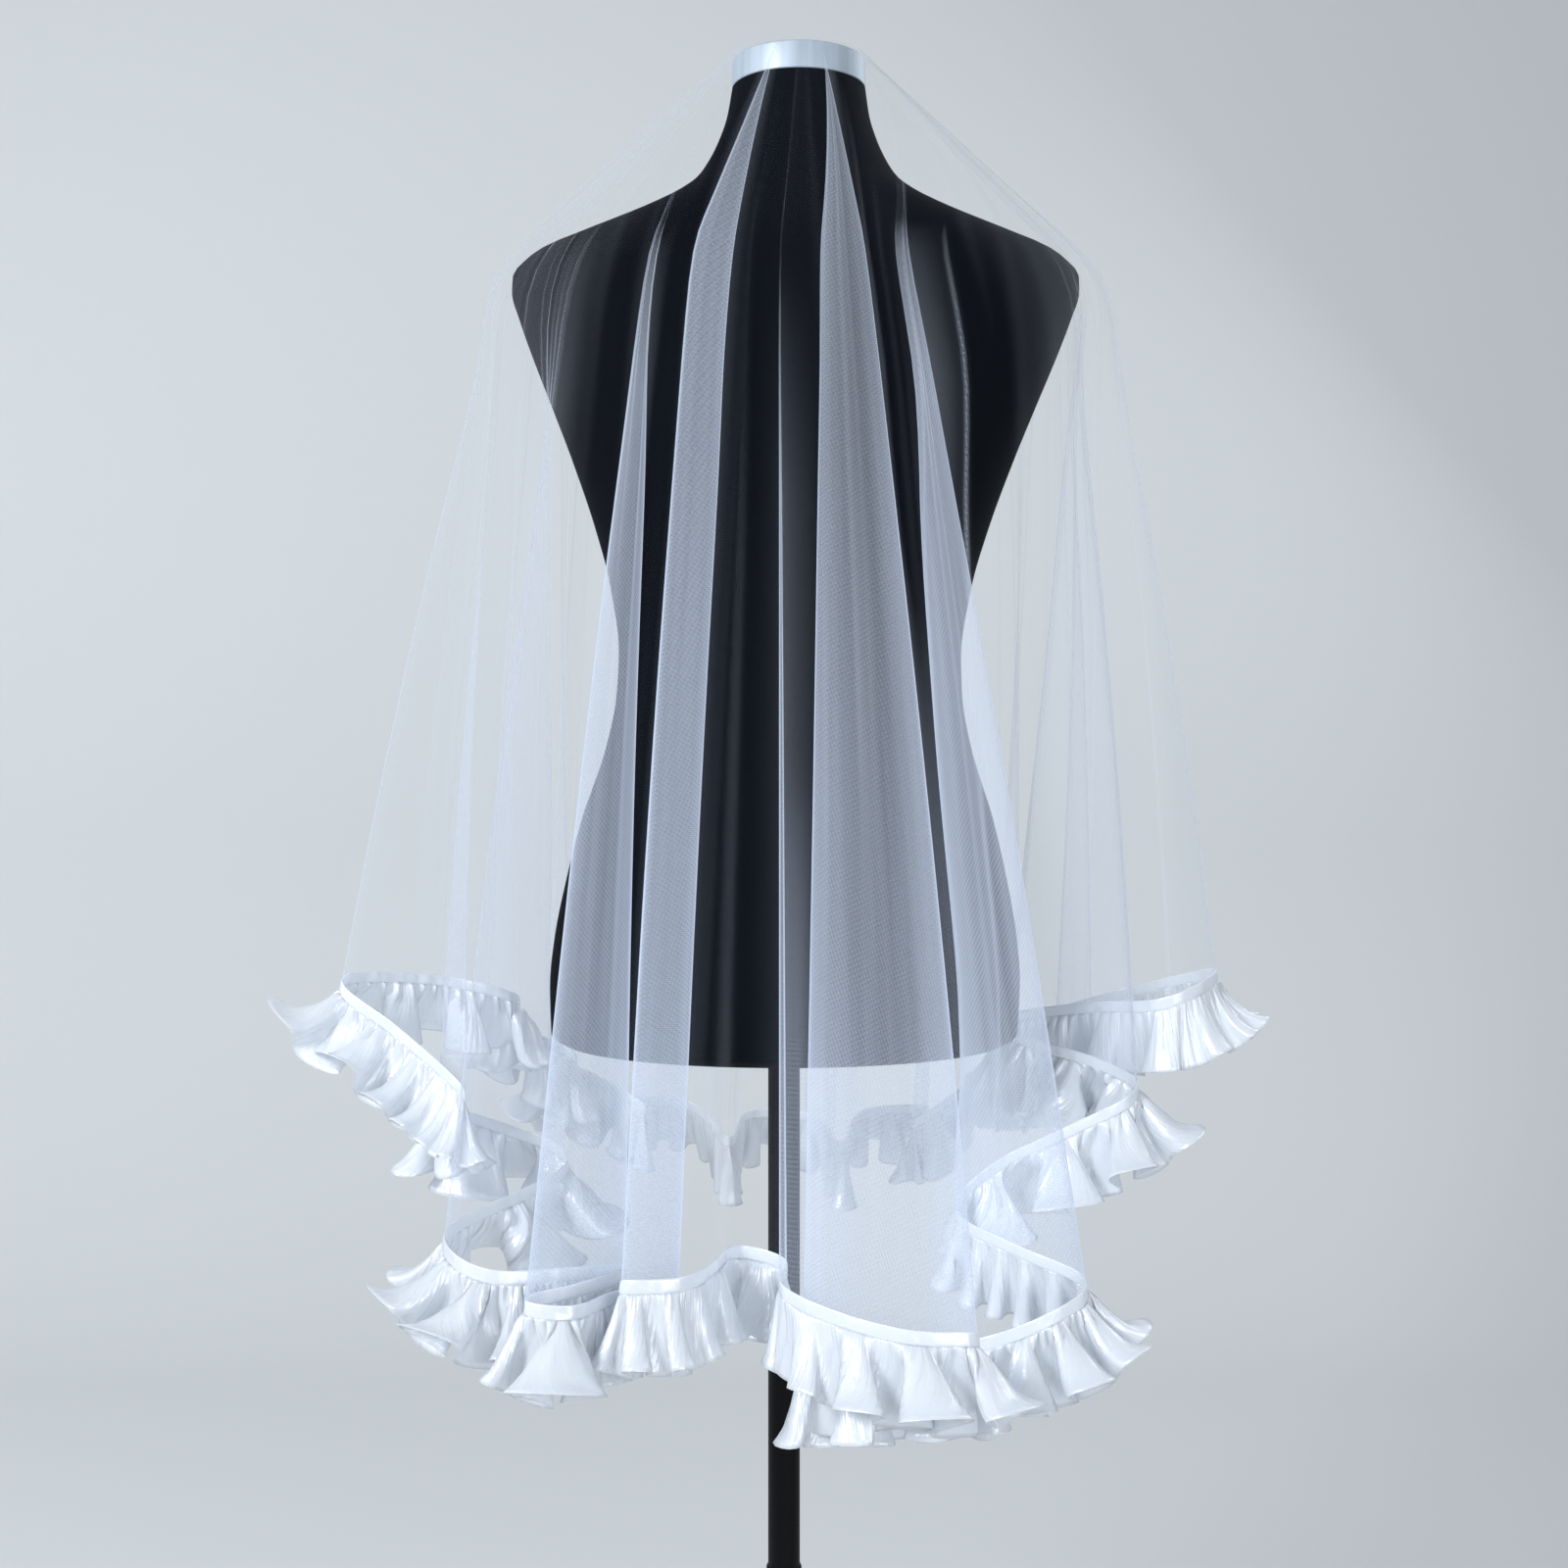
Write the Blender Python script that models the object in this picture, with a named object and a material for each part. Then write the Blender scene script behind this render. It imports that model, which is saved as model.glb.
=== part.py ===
"""A bridal drop veil laid over a limbless dress form on a round-based stand.

The veil is one oval of tulle with no comb or seam. It lies flat on the neck cap, slopes like a tent to
the shoulder tips and hangs in deep flutes to a hem that is high at the sides and low in front and
behind. A satin binding closes the hem and carries a gathered satin ruffle.

Axes: +X is the wearer's side at the right of the front view, -Y is the front, +Z is up. The origin is
on the floor, under the middle of the stand's base.
"""

import math

import bmesh
import bpy
import numpy as np

MM = 0.001
SEAM = 0.3 * MM  # the gap left between two pieces that touch

# Stand
BASE_RADIUS = 150 * MM
BASE_THICK = 9 * MM
BASE_EDGE = 3 * MM
POLE_RADIUS = 11 * MM

# Dress form: half width and half depth of its section at each height
FORM_BOTTOM = 857 * MM
FORM_TOP = 1516 * MM
FORM_LEAN = 0.0155  # sideways shift of the form's middle for each metre above its bottom
FORM_SIDES = 36
FORM_SECTIONS = [
    # height, half width, half depth
    (857, 152, 93),
    (863, 161, 102),
    (899, 162.5, 104),
    (928, 160, 103),
    (971, 152, 99),
    (1010, 142.5, 94),
    (1060, 126.5, 87),
    (1096, 119.7, 83),
    (1124, 118.5, 82),
    (1171, 125, 85),
    (1210, 135.7, 90),
    (1259, 153, 95),
    (1293, 166.5, 94),
    (1334, 183, 87),
    (1356, 191, 82),
    (1375, 196.5, 77),
    (1386, 196, 74),
    (1396, 188, 72),
    (1404, 177, 70),
    (1413, 155, 68),
    (1432, 106, 64),
    (1442, 85, 61),
    (1452, 71, 57),
    (1463, 63, 54),
    (1478, 55.5, 51),
    (1496, 49.5, 48),
    (1516, 46.2, 46.2),
]

# Neck cap
CAP_RADIUS = 46.2 * MM
CAP_HEIGHT = 19 * MM
CAP_EDGE = 1.5 * MM
CAP_SIDES = 40

# Tulle
WALL = 1.0 * MM
RIM_RADIUS = CAP_RADIUS + SEAM + WALL
SHOULDER_HEIGHT = 1388 * MM
SHOULDER_HALF_WIDTH = 202 * MM
SHOULDER_HALF_DEPTH = 83 * MM
BODY_CLEARANCE = 4.5 * MM
BODY_HARDNESS = 14  # how sharply the cloth turns from hanging free to lying on the form
LOWEST_HIPS = FORM_BOTTOM + 20 * MM  # below this the form's section no longer narrows for the cloth
BODY_FADE = 60 * MM  # how far below the form its push on the cloth dies away
BELLY = 6 * MM  # how far the hanging cloth bows outwards half way down
UPPER_LEVELS = (0.0, 0.3, 0.6, 0.82, 1.0)
LOWER_LEVELS = (0.1, 0.26, 0.48, 0.74, 1.0)
CREST_RADIUS = 0.8  # the flat crown on the cap, as a share of the rim's radius
TURN_STEP = 62  # degrees of turn in the hem for each column of the cloth
LENGTH_STEP = 62 * MM  # length of hem for each column of the cloth
FINE_STEP = 3 * MM
FOLD_ROUNDING = 12 * MM
TURN_ROUNDING = 6 * MM
ROW_SAMPLES = 24
ANGLE_COLUMNS = [3, 5]

# Hem binding and ruffle
BAND_HEIGHT = 8 * MM
BAND_THICK = 1.2 * MM
RUFFLE_THICK = 1.0 * MM
RUFFLE_DEPTH = 44 * MM
RUFFLE_WAVES = 138
RUFFLE_SWING = 6.5 * MM
SWING_LEAST = 0.5 * MM
SWING_SHARE = 0.4  # of the room to the next layer
FOLDED_BACK = 1.5  # points are on separate layers if the edge between them is this much longer than the gap
HANG_FROM = 0.8  # the level of the cloth from which the way that the ruffle hangs is read
HANG_ROUNDING = 15 * MM
COLUMNS_A_WAVE = 4

# The flutes. Each row is one turn or face of the hem, in order round the veil from its side at -X,
# over the front: where the hem passes (across and towards the front), its height, where that line of
# the cloth crosses the shoulder ring (degrees from the front), how far off the ring it lies, and how far
# the ruffle's free edge leans to the outer side of the cloth (below 0: to its inner side). Lengths in mm.
FLUTES = [
    # name, across, front, height, ring angle, ring gap, flare
    ("left_tip", -309, 0, 900, -92, 0, 40),
    ("left_face", -258, 34, 870, -82, 4.5, 34),
    ("left_nose", -205, 80, 838, -71, 9, 26),
    ("left_return", -238, 12, 818, -66, 0, -6),
    ("left_inner", -144, 42, 788, -54, 0, -4),
    ("front_left_nose", -207, 155, 770, -46, 0, 36),
    ("front_left_face", -174, 201, 762, -38, 0, 22),
    ("tuck_c_back", -132, 186, 758, -31, 0, -3),
    ("tuck_c_inner", -92, 158, 752, -24, 0, -7),
    ("tuck_c_middle", -118, 199, 754, -25.5, 6, -2),
    ("tuck_c_nose", -151, 228, 754, -28, 12, 14),
    ("tuck_c_face", -120, 238, 753, -23, 10.5, 14),
    ("tuck_a_back", -98, 198, 749, -17, 0, 0),
    ("tuck_a_inner", -57, 186, 750, -10, 0, -2),
    ("tuck_a_nose", -97, 226, 764, -16.5, 12, 9),
    ("tuck_a_face", -55, 224, 765, -8.5, 13.5, 12),
    ("notch_side", -40, 190, 765, -6, 7.5, 5),
    ("notch", -28, 146, 760, -4, 0, 0),
    ("tuck_e_inner", 1, 162, 755, -0.5, 0, -1),
    ("tuck_e_nose", -10, 188, 752, -1, 6, 4),
    ("broad_face_left", 16, 210, 745, 2.5, 13, 12),
    ("broad_face", 72, 234, 738, 8.5, 16, 16),
    ("broad_nose", 115, 228, 735, 14.5, 14.5, 22),
    ("tuck_b_middle", 64, 206, 720, 10.5, 8.5, 0),
    ("tuck_b_inner", 10, 182, 705, 6, 2, -5),
    ("tuck_b_back", 66, 174, 702, 11, 0, 0),
    ("front_right_back", 118, 163, 708, 16, 0, 3),
    ("front_right_face", 152, 178, 726, 19.5, 10, 14),
    ("front_right_nose", 186, 156, 740, 24, 15, 34),
    ("tuck_d_middle", 150, 114, 750, 22, 9, 0),
    ("tuck_d_inner", 122, 74, 762, 19.5, 1, -6),
    ("right_face_inner", 136, 58, 785, 28, 0, 0),
    ("right_face", 184, 60, 810, 43, 0, 12),
    ("right_nose", 236, 54, 836, 62, 0, 32),
    ("right_side", 220, 8, 844, 66, 0, -4),
    ("right_inner", 158, -54, 855, 69, 0, -6),
    ("right_inner_back", 164, -80, 860, 72, 0, -6),
    ("right_tip_back", 216, -38, 876, 76, 4.5, 0),
    ("right_tip_face", 262, 26, 891, 83, 9, 8),
    ("right_tip", 304, -10, 905, 93, 9, 34),
    ("back_right_side", 262, -66, 885, 99, 4.5, 8),
    ("back_right_inner", 200, -88, 862, 104, 0, -6),
    ("back_right_nose", 240, -142, 852, 111.5, 0, 24),
    ("back_right_nose_back", 224, -154, 847, 115, 0, 24),
    ("back_right_inner_2", 152, -108, 822, 122, 0, -9),
    ("back_right_nose_2", 188, -198, 797, 131.5, 0, 24),
    ("back_right_nose_2_back", 170, -208, 793, 134.5, 0, 24),
    ("back_right_inner_3", 98, -120, 772, 143, 0, -8),
    ("back_nose_right", 116, -234, 758, 152, 0, 15),
    ("back_face_right", 68, -246, 752, 160, 0, 16),
    ("back_inner_right", 44, -132, 752, 168, 0, -4),
    ("back_nose", 20, -242, 750, 174, 0, 14),
    ("back_face", -26, -244, 752, 181, 0, 14),
    ("back_inner", -42, -130, 756, 188, 0, -4),
    ("back_nose_left", -80, -240, 760, 196, 0, 16),
    ("back_face_left", -128, -220, 768, 204, 0, 10),
    ("back_left_inner_2", -104, -116, 785, 213, 0, -9),
    ("back_left_nose_2_back", -174, -208, 798, 223.5, 0, 18),
    ("back_left_nose_2", -190, -194, 803, 227, 0, 24),
    ("back_left_inner", -156, -110, 826, 235, 0, -6),
    ("back_left_nose", -234, -158, 850, 243, 0, 24),
    ("back_left_side", -196, -84, 874, 255, 0, -4),
    ("left_tip_back", -250, -56, 893, 262, 0, 8),
]


def clear_scene():
    for obj in list(bpy.data.objects):
        bpy.data.objects.remove(obj, do_unlink=True)


def finish(name, colour, roughness, metallic=0.0):
    """A Principled material from its colour in linear light, roughness and metallic value."""
    material = bpy.data.materials.new(name)
    material.use_nodes = True
    shader = material.node_tree.nodes["Principled BSDF"]
    shader.inputs["Base Color"].default_value = (*colour, 1.0)
    shader.inputs["Roughness"].default_value = roughness
    shader.inputs["Metallic"].default_value = metallic
    return material


def add_object(name, points, faces, material, smooth_angle=None):
    """A new object from a list of points and a list of faces, with its faces turned outwards."""
    mesh = bpy.data.meshes.new(name)
    mesh.from_pydata([tuple(p) for p in points], [], [tuple(f) for f in faces])
    work = bmesh.new()
    work.from_mesh(mesh)
    bmesh.ops.recalc_face_normals(work, faces=work.faces)
    work.to_mesh(mesh)
    work.free()
    mesh.materials.append(material)
    if smooth_angle is not None:
        mesh.shade_smooth()
        mesh.set_sharp_from_angle(angle=math.radians(smooth_angle))
    obj = bpy.data.objects.new(name, mesh)
    bpy.context.scene.collection.objects.link(obj)
    return obj


def unit(vectors):
    return vectors / np.linalg.norm(vectors, axis=1)[:, None]


def ring_faces(rings, columns):
    """Quads between rings of points, each ring closed on itself."""
    faces = []
    for ring in range(rings - 1):
        above = ring * columns
        below = above + columns
        for i in range(columns):
            j = (i + 1) % columns
            faces.append((above + i, above + j, below + j, below + i))
    return faces


def turned(name, profile, sides, material, centre_x=0.0):
    """A round piece from its profile of (radius, height) points, with flat ends."""
    turns = np.arange(sides) * math.tau / sides
    points = [
        (centre_x + radius * math.cos(a), radius * math.sin(a), height)
        for radius, height in profile
        for a in turns
    ]
    faces = ring_faces(len(profile), sides)
    last = (len(profile) - 1) * sides
    faces.append(range(sides))
    faces.append(range(last, last + sides))
    return add_object(name, points, faces, material, smooth_angle=40)


# Dress form


def form_centre(height):
    """The sideways place of the form's middle at a height."""
    return FORM_LEAN * (height - FORM_BOTTOM)


def form_section(height):
    """Half width and half depth of the form at each height of an array."""
    table = np.array(FORM_SECTIONS) * MM
    half_width = np.interp(height, table[:, 0], table[:, 1])
    half_depth = np.interp(height, table[:, 0], table[:, 2])
    return half_width, half_depth


def make_form(material):
    """The torso: ellipses from the bottom edge to the top of the neck, closed flat at both ends."""
    turns = np.arange(FORM_SIDES) * math.tau / FORM_SIDES
    points = []
    for height, half_width, half_depth in np.array(FORM_SECTIONS) * MM:
        for a in turns:
            x = form_centre(height) + half_width * math.cos(a)
            points.append((x, half_depth * math.sin(a), height))
    faces = ring_faces(len(FORM_SECTIONS), FORM_SIDES)
    last = (len(FORM_SECTIONS) - 1) * FORM_SIDES
    faces.append(range(FORM_SIDES))
    faces.append(range(last, last + FORM_SIDES))
    return add_object("dress_form", points, faces, material, smooth_angle=50)


def make_cap(material):
    """The cap that closes the neck, with a softened top edge."""
    bottom = FORM_TOP + SEAM
    top = bottom + CAP_HEIGHT
    profile = [
        (CAP_RADIUS, bottom),
        (CAP_RADIUS, top - CAP_EDGE),
        (CAP_RADIUS - 0.3 * CAP_EDGE, top - 0.3 * CAP_EDGE),
        (CAP_RADIUS - CAP_EDGE, top),
    ]
    return turned("neck_cap", profile, CAP_SIDES, material, form_centre(FORM_TOP))


def make_stand(material):
    """The pole under the form and the flat round base that it stands in."""
    base_profile = [
        (BASE_RADIUS, 0.0),
        (BASE_RADIUS, BASE_THICK - BASE_EDGE),
        (BASE_RADIUS - BASE_EDGE, BASE_THICK),
    ]
    turned("stand_base", base_profile, 48, material)
    pole_profile = [
        (POLE_RADIUS, BASE_THICK + SEAM),
        (POLE_RADIUS, FORM_BOTTOM - SEAM),
    ]
    turned("stand_pole", pole_profile, 24, material)


# Veil


def smooth_loop(rows, samples):
    """A closed curve through the rows of an array: cubic pieces whose slope at each row comes from its
    two neighbours, with the parameter grown by the root of the distance so that tight turns stay round."""
    steps = np.sqrt(np.linalg.norm(np.roll(rows, -1, axis=0)[:, :3] - rows[:, :3], axis=1))
    before = np.roll(steps, 1)
    after_slope = (np.roll(rows, -1, axis=0) - rows) / steps[:, None]
    before_slope = np.roll(after_slope, 1, axis=0)
    slope = (after_slope * before[:, None] + before_slope * steps[:, None]) / (before + steps)[:, None]
    t = (np.arange(samples) / samples)[None, :, None]
    start, end = rows[:, None], np.roll(rows, -1, axis=0)[:, None]
    out, into = (slope * steps[:, None])[:, None], (np.roll(slope, -1, axis=0) * steps[:, None])[:, None]
    curve = (
        (1 + 2 * t) * (1 - t) ** 2 * start
        + t * (1 - t) ** 2 * out
        + t**2 * (3 - 2 * t) * end
        + t**2 * (t - 1) * into
    )
    return curve.reshape(-1, rows.shape[1])


def hem_rows():
    """The flute table as an array of x, y, z, ring angle, ring gap, rim angle and flare, in metres and
    radians. The rim angle grows evenly with the hem's length, as the angle does on the flat oval."""
    table = np.array([row[1:] for row in FLUTES], float)
    across, front, height, angle, gap, flare = table.T
    hem = np.stack([across, -front, height], axis=1) * MM
    lengths = np.linalg.norm(np.roll(hem, -1, axis=0) - hem, axis=1)
    passed = np.concatenate([[0], np.cumsum(lengths)[:-1]])
    rim = math.radians(angle[0]) + math.tau * passed / lengths.sum()
    return np.column_stack([hem, np.radians(angle), gap * MM, rim, flare * MM])


def laps_of(rows, turns):
    """The rows of a closed line three times over, with its two angle columns carried on by a full turn."""
    laps = [rows.copy() for _ in turns]
    for lap, turn in zip(laps, turns):
        lap[:, ANGLE_COLUMNS] += turn * math.tau
    return np.vstack(laps)


def evenly_spaced(rows, passed, count):
    """Rows read at equal steps of passed, which grows from 0 and has one number more than there are rows."""
    closed = np.vstack([rows, laps_of(rows[:1], [1])])
    wanted = np.arange(count) * passed[-1] / count
    return np.column_stack([np.interp(wanted, passed, column) for column in closed.T])


def fine_hem():
    """The hem as a smooth closed line with a point for each FINE_STEP, its turns rounded to a fold's size."""
    rows = hem_rows()
    curve = smooth_loop(laps_of(rows, [-1, 0, 1]), ROW_SAMPLES)
    curve = curve[len(rows) * ROW_SAMPLES : 2 * len(rows) * ROW_SAMPLES]
    passed = np.concatenate([[0], np.cumsum(step_lengths(curve))])
    curve = evenly_spaced(curve, passed, round(passed[-1] / FINE_STEP))
    return smoothed(laps_of(curve, [-1, 0, 1]), FOLD_ROUNDING)[len(curve) : 2 * len(curve)]


def step_lengths(line):
    return np.linalg.norm((np.roll(line, -1, axis=0) - line)[:, :3], axis=1)


def smoothed(values, reach):
    """The rows of an array averaged with their neighbours within a reach along the closed line, for rows
    a FINE_STEP apart."""
    width = round(reach / FINE_STEP)
    total = sum(np.roll(values, shift, axis=0) for shift in range(-width, width + 1))
    return total / (2 * width + 1)


def hem_curve():
    """The hem with a column for each LENGTH_STEP of it and for each TURN_STEP that it turns. The last
    three numbers of a row are the way that the binding and the ruffle hang from it."""
    fine = fine_hem()
    hem = lower_ring(fine, 1.0)
    step = np.roll(hem, -1, axis=0) - hem
    heading = np.arctan2(step[:, 1], step[:, 0])
    turn = np.abs((np.roll(heading, -1) - heading + math.pi) % math.tau - math.pi)
    down = unit(hem - lower_ring(fine, HANG_FROM))
    fine = np.column_stack([fine, unit(smoothed(down, HANG_ROUNDING))])
    cost = step_lengths(hem) / LENGTH_STEP + smoothed(turn, TURN_ROUNDING) / math.radians(TURN_STEP)
    passed = np.concatenate([[0], np.cumsum(cost)])
    return evenly_spaced(fine, passed, round(passed[-1]))


def keep_off_form(points):
    """Points pushed out, level by level, to lie on or outside the form with its clearance."""
    x, y, z = points.T
    half_width, half_depth = form_section(np.maximum(z, LOWEST_HIPS))
    middle = form_centre(z)
    reach = np.hypot(
        (x - middle) / (half_width + BODY_CLEARANCE), y / (half_depth + BODY_CLEARANCE)
    )
    pushed = (1 + reach**BODY_HARDNESS) ** (1 / BODY_HARDNESS) / reach
    fade = np.clip((z - FORM_BOTTOM) / BODY_FADE + 1, 0, 1)
    pushed = 1 + (pushed - 1) * fade
    return np.column_stack([middle + (x - middle) * pushed, y * pushed, z])


def upper_ring(curve, level):
    """The cloth between the cap's rim (level 0) and the shoulder ring (level 1). Each line turns from
    its rim angle to its ring angle late and leaves the ring's surface early, so tucks open as they form."""
    angle = curve[:, 5] + (curve[:, 3] - curve[:, 5]) * level**2
    gap = curve[:, 4] * level**0.3
    half_width = RIM_RADIUS + (SHOULDER_HALF_WIDTH - RIM_RADIUS) * level + gap
    half_depth = RIM_RADIUS + (SHOULDER_HALF_DEPTH - RIM_RADIUS) * level + gap
    rim_height = FORM_TOP + SEAM + CAP_HEIGHT + SEAM + WALL / 2
    height = rim_height + (SHOULDER_HEIGHT - rim_height) * level
    x = form_centre(height) + half_width * np.sin(angle)
    y = -half_depth * np.cos(angle)
    return np.column_stack([x, y, np.full(len(curve), height)])


def lower_ring(curve, level):
    """The cloth between the shoulder ring (level 0) and the hem (level 1): straight lines, bowed out."""
    shoulder = upper_ring(curve, 1.0)
    points = shoulder + (curve[:, :3] - shoulder) * level
    points[:, :2] += unit(points[:, :2]) * BELLY * math.sin(math.pi * level)
    return keep_off_form(points)


def way_along(ring):
    """The way along a closed ring at each of its points, half way between the two steps that meet there."""
    steps = unit(np.roll(ring, -1, axis=0) - ring)
    return unit(steps + np.roll(steps, 1, axis=0))


def way_out(ring, ring_above):
    """The way out of the cloth along a ring, square to the ring and to the cloth's lines."""
    return unit(np.cross(ring - ring_above, way_along(ring)))


def hem_frame(curve):
    """At each column, the hem's point, the way down from it and the way out of the cloth there."""
    hem = lower_ring(curve, 1.0)
    down = unit(curve[:, 7:10])
    return hem, down, unit(np.cross(down, way_along(hem)))


def shell(name, rings, outs, thick, material, capped=False):
    """A closed wall on both sides of a cloth given as rings of points with the way out at each. Both sides
    of the wall are cut into the same triangles, along the shorter diagonals. With capped, the first ring
    is covered over."""
    columns = len(rings[0])
    inner_start = len(rings) * columns
    faces = []
    for k, (above, below) in enumerate(zip(rings, rings[1:])):
        falling = np.linalg.norm(np.roll(below, -1, axis=0) - above, axis=1)
        rising = np.linalg.norm(np.roll(above, -1, axis=0) - below, axis=1)
        for i in range(columns):
            j = (i + 1) % columns
            a, b = k * columns + i, k * columns + j
            c, d = b + columns, a + columns
            if falling[i] < rising[i]:
                faces += [(a, b, c), (a, c, d)]
            else:
                faces += [(a, b, d), (b, c, d)]
    faces += [tuple(inner_start + corner for corner in face) for face in faces]
    edges = [inner_start - columns]
    if capped:
        faces += [range(columns), range(inner_start, inner_start + columns)]
    else:
        edges.append(0)
    for start in edges:
        for i in range(columns):
            a, b = start + i, start + (i + 1) % columns
            faces.append((a, b, b + inner_start, a + inner_start))
    outer = [ring + out * thick / 2 for ring, out in zip(rings, outs)]
    inner = [ring - out * thick / 2 for ring, out in zip(rings, outs)]
    return add_object(name, np.vstack(outer + inner), faces, material, smooth_angle=80)


def make_tulle(curve, material):
    """The oval of tulle from the crown on the cap to the hem: a closed wall between an outer and an inner
    surface, each half the wall's thickness away from the cloth's rings."""
    rim = upper_ring(curve, 0.0)
    centre = np.array([form_centre(FORM_TOP), 0, 0])
    crown = centre + (rim - centre) * (CREST_RADIUS, CREST_RADIUS, 1)
    rings = [crown, rim] + [upper_ring(curve, level) for level in UPPER_LEVELS[1:]]
    rings += [lower_ring(curve, level) for level in LOWER_LEVELS]
    up = np.tile([0.0, 0.0, 1.0], (len(curve), 1))
    outs = [up] + [way_out(ring, above) for above, ring in zip(rings, rings[1:])]
    outs[1] = unit(outs[2] + up)
    outs[-1] = hem_frame(curve)[2]
    return shell("veil_tulle", rings, outs, WALL, material, capped=True)


def make_band(curve, material):
    """The satin binding along the hem."""
    hem, down, out = hem_frame(curve)
    top = hem + down * SEAM
    bottom = top + down * BAND_HEIGHT
    return shell("hem_band", [top, bottom], [out, out], BAND_THICK, material)


def gathered_columns(values):
    """Rows of an array set closer round the closed line in its first three columns: each step is cut into
    equal parts near the ruffle's own spacing, so that every old row is kept. The count is a whole number
    of waves."""
    following = np.roll(values, -1, axis=0)
    steps = np.linalg.norm((following - values)[:, :3], axis=1)
    spacing = steps.sum() / (RUFFLE_WAVES * COLUMNS_A_WAVE)
    parts = np.maximum(1, np.rint(steps / spacing)).astype(int)
    missing = -parts.sum() % COLUMNS_A_WAVE
    parts[np.argsort(-steps)[:missing]] += 1
    rows = [
        start + (end - start) * (np.arange(count) / count)[:, None]
        for start, end, count in zip(values, following, parts)
    ]
    return np.vstack(rows)


def swing_room(line):
    """How far the ruffle can swing at each point of its free edge: its full swing, or less where another
    layer of the ruffle hangs close by."""
    passed = np.concatenate([[0], np.cumsum(step_lengths(line))])
    along = np.abs(passed[:-1, None] - passed[None, :-1])
    along = np.minimum(along, passed[-1] - along)
    apart = np.linalg.norm(line[:, None] - line[None], axis=2)
    apart[along <= FOLDED_BACK * apart] = np.inf
    room = apart.min(axis=1)
    room = np.minimum(np.minimum(np.roll(room, 1), np.roll(room, -1)), room)
    return np.clip(SWING_SHARE * room - RUFFLE_THICK, SWING_LEAST, RUFFLE_SWING)


def make_ruffle(curve, material):
    """The gathered ruffle: a strip under the binding whose free edge swings to and fro in waves about
    the flare of each flute."""
    hem, down, out = hem_frame(curve)
    top = hem + down * (BAND_HEIGHT + 2 * SEAM)
    spread = gathered_columns(np.hstack([top, down, out, curve[:, 6:7]]))
    top, down, out, flare = spread[:, :3], spread[:, 3:6], unit(spread[:, 6:9]), spread[:, 9]
    bottom = top + down * np.sqrt(RUFFLE_DEPTH**2 - flare**2)[:, None] + out * flare[:, None]
    phase = math.tau * np.arange(len(top)) / COLUMNS_A_WAVE + math.pi / 4
    swing = swing_room(bottom) * np.sign(np.sin(phase))
    bottom += out * swing[:, None]
    return shell("satin_ruffle", [top, bottom], [out, out], RUFFLE_THICK, material)


def main():
    clear_scene()
    tulle = finish("tulle", (0.62, 0.68, 0.80), 0.8)
    satin = finish("satin", (0.86, 0.87, 0.90), 0.3)
    jersey = finish("jersey", (0.012, 0.013, 0.016), 0.75)
    silver = finish("silver_card", (0.62, 0.65, 0.68), 0.25)
    black_metal = finish("black_metal", (0.01, 0.01, 0.01), 0.35, 0.0)
    make_stand(black_metal)
    make_form(jersey)
    make_cap(silver)
    curve = hem_curve()
    make_tulle(curve, tulle)
    make_band(curve, satin)
    make_ruffle(curve, satin)


main()
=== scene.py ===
# %% [markdown]
# # A bridal drop veil on a dress form
# The veil is one oval of soft tulle whose edge is bound in satin and carries a gathered satin ruffle. It
# lies flat on the cap of a limbless dress form, slopes like a tent to the shoulder tips and falls from
# there in deep flutes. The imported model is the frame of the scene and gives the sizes. Cloth, form, cap and
# stand are made again here as finer surfaces on the same shapes.

# %% The frame
import math

import bmesh
import bpy
import numpy as np
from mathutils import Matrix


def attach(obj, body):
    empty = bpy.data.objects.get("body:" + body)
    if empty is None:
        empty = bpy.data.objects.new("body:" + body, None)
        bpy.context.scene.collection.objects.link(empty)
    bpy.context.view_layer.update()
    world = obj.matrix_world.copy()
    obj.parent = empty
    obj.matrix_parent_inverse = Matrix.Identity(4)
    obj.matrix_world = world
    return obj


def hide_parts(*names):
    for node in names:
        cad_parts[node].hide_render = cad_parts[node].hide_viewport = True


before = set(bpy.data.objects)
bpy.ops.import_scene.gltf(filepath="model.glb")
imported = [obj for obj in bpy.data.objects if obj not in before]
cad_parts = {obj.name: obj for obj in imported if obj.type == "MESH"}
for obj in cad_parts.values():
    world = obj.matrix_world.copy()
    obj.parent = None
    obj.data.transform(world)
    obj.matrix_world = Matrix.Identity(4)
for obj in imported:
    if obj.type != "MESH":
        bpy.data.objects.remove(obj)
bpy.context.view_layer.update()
MM = 0.001
print("frame nodes:", sorted(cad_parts))

# %% [markdown]
# Every new piece is a surface over a grid: a function of two parameters worked out for all its points at
# once, with one row of the array for each ring of points. Such a surface could also be drawn by hand or
# swept with curves, but a grid keeps the rows and columns known, so that a pattern or a density can be
# laid on the same grid later.


# %% Surfaces from grids
def grid_faces(rows, columns, closed=True):
    """The quads between neighbouring rows and columns. Corner k of row r is number r * columns + k. With
    closed, the last column is joined to the first."""
    across = np.arange(columns if closed else columns - 1)
    near = (np.arange(rows - 1)[:, None] * columns + across).ravel()
    far = (np.arange(rows - 1)[:, None] * columns + (across + 1) % columns).ravel()
    return np.stack([near, far, far + columns, near + columns], axis=1)


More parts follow.
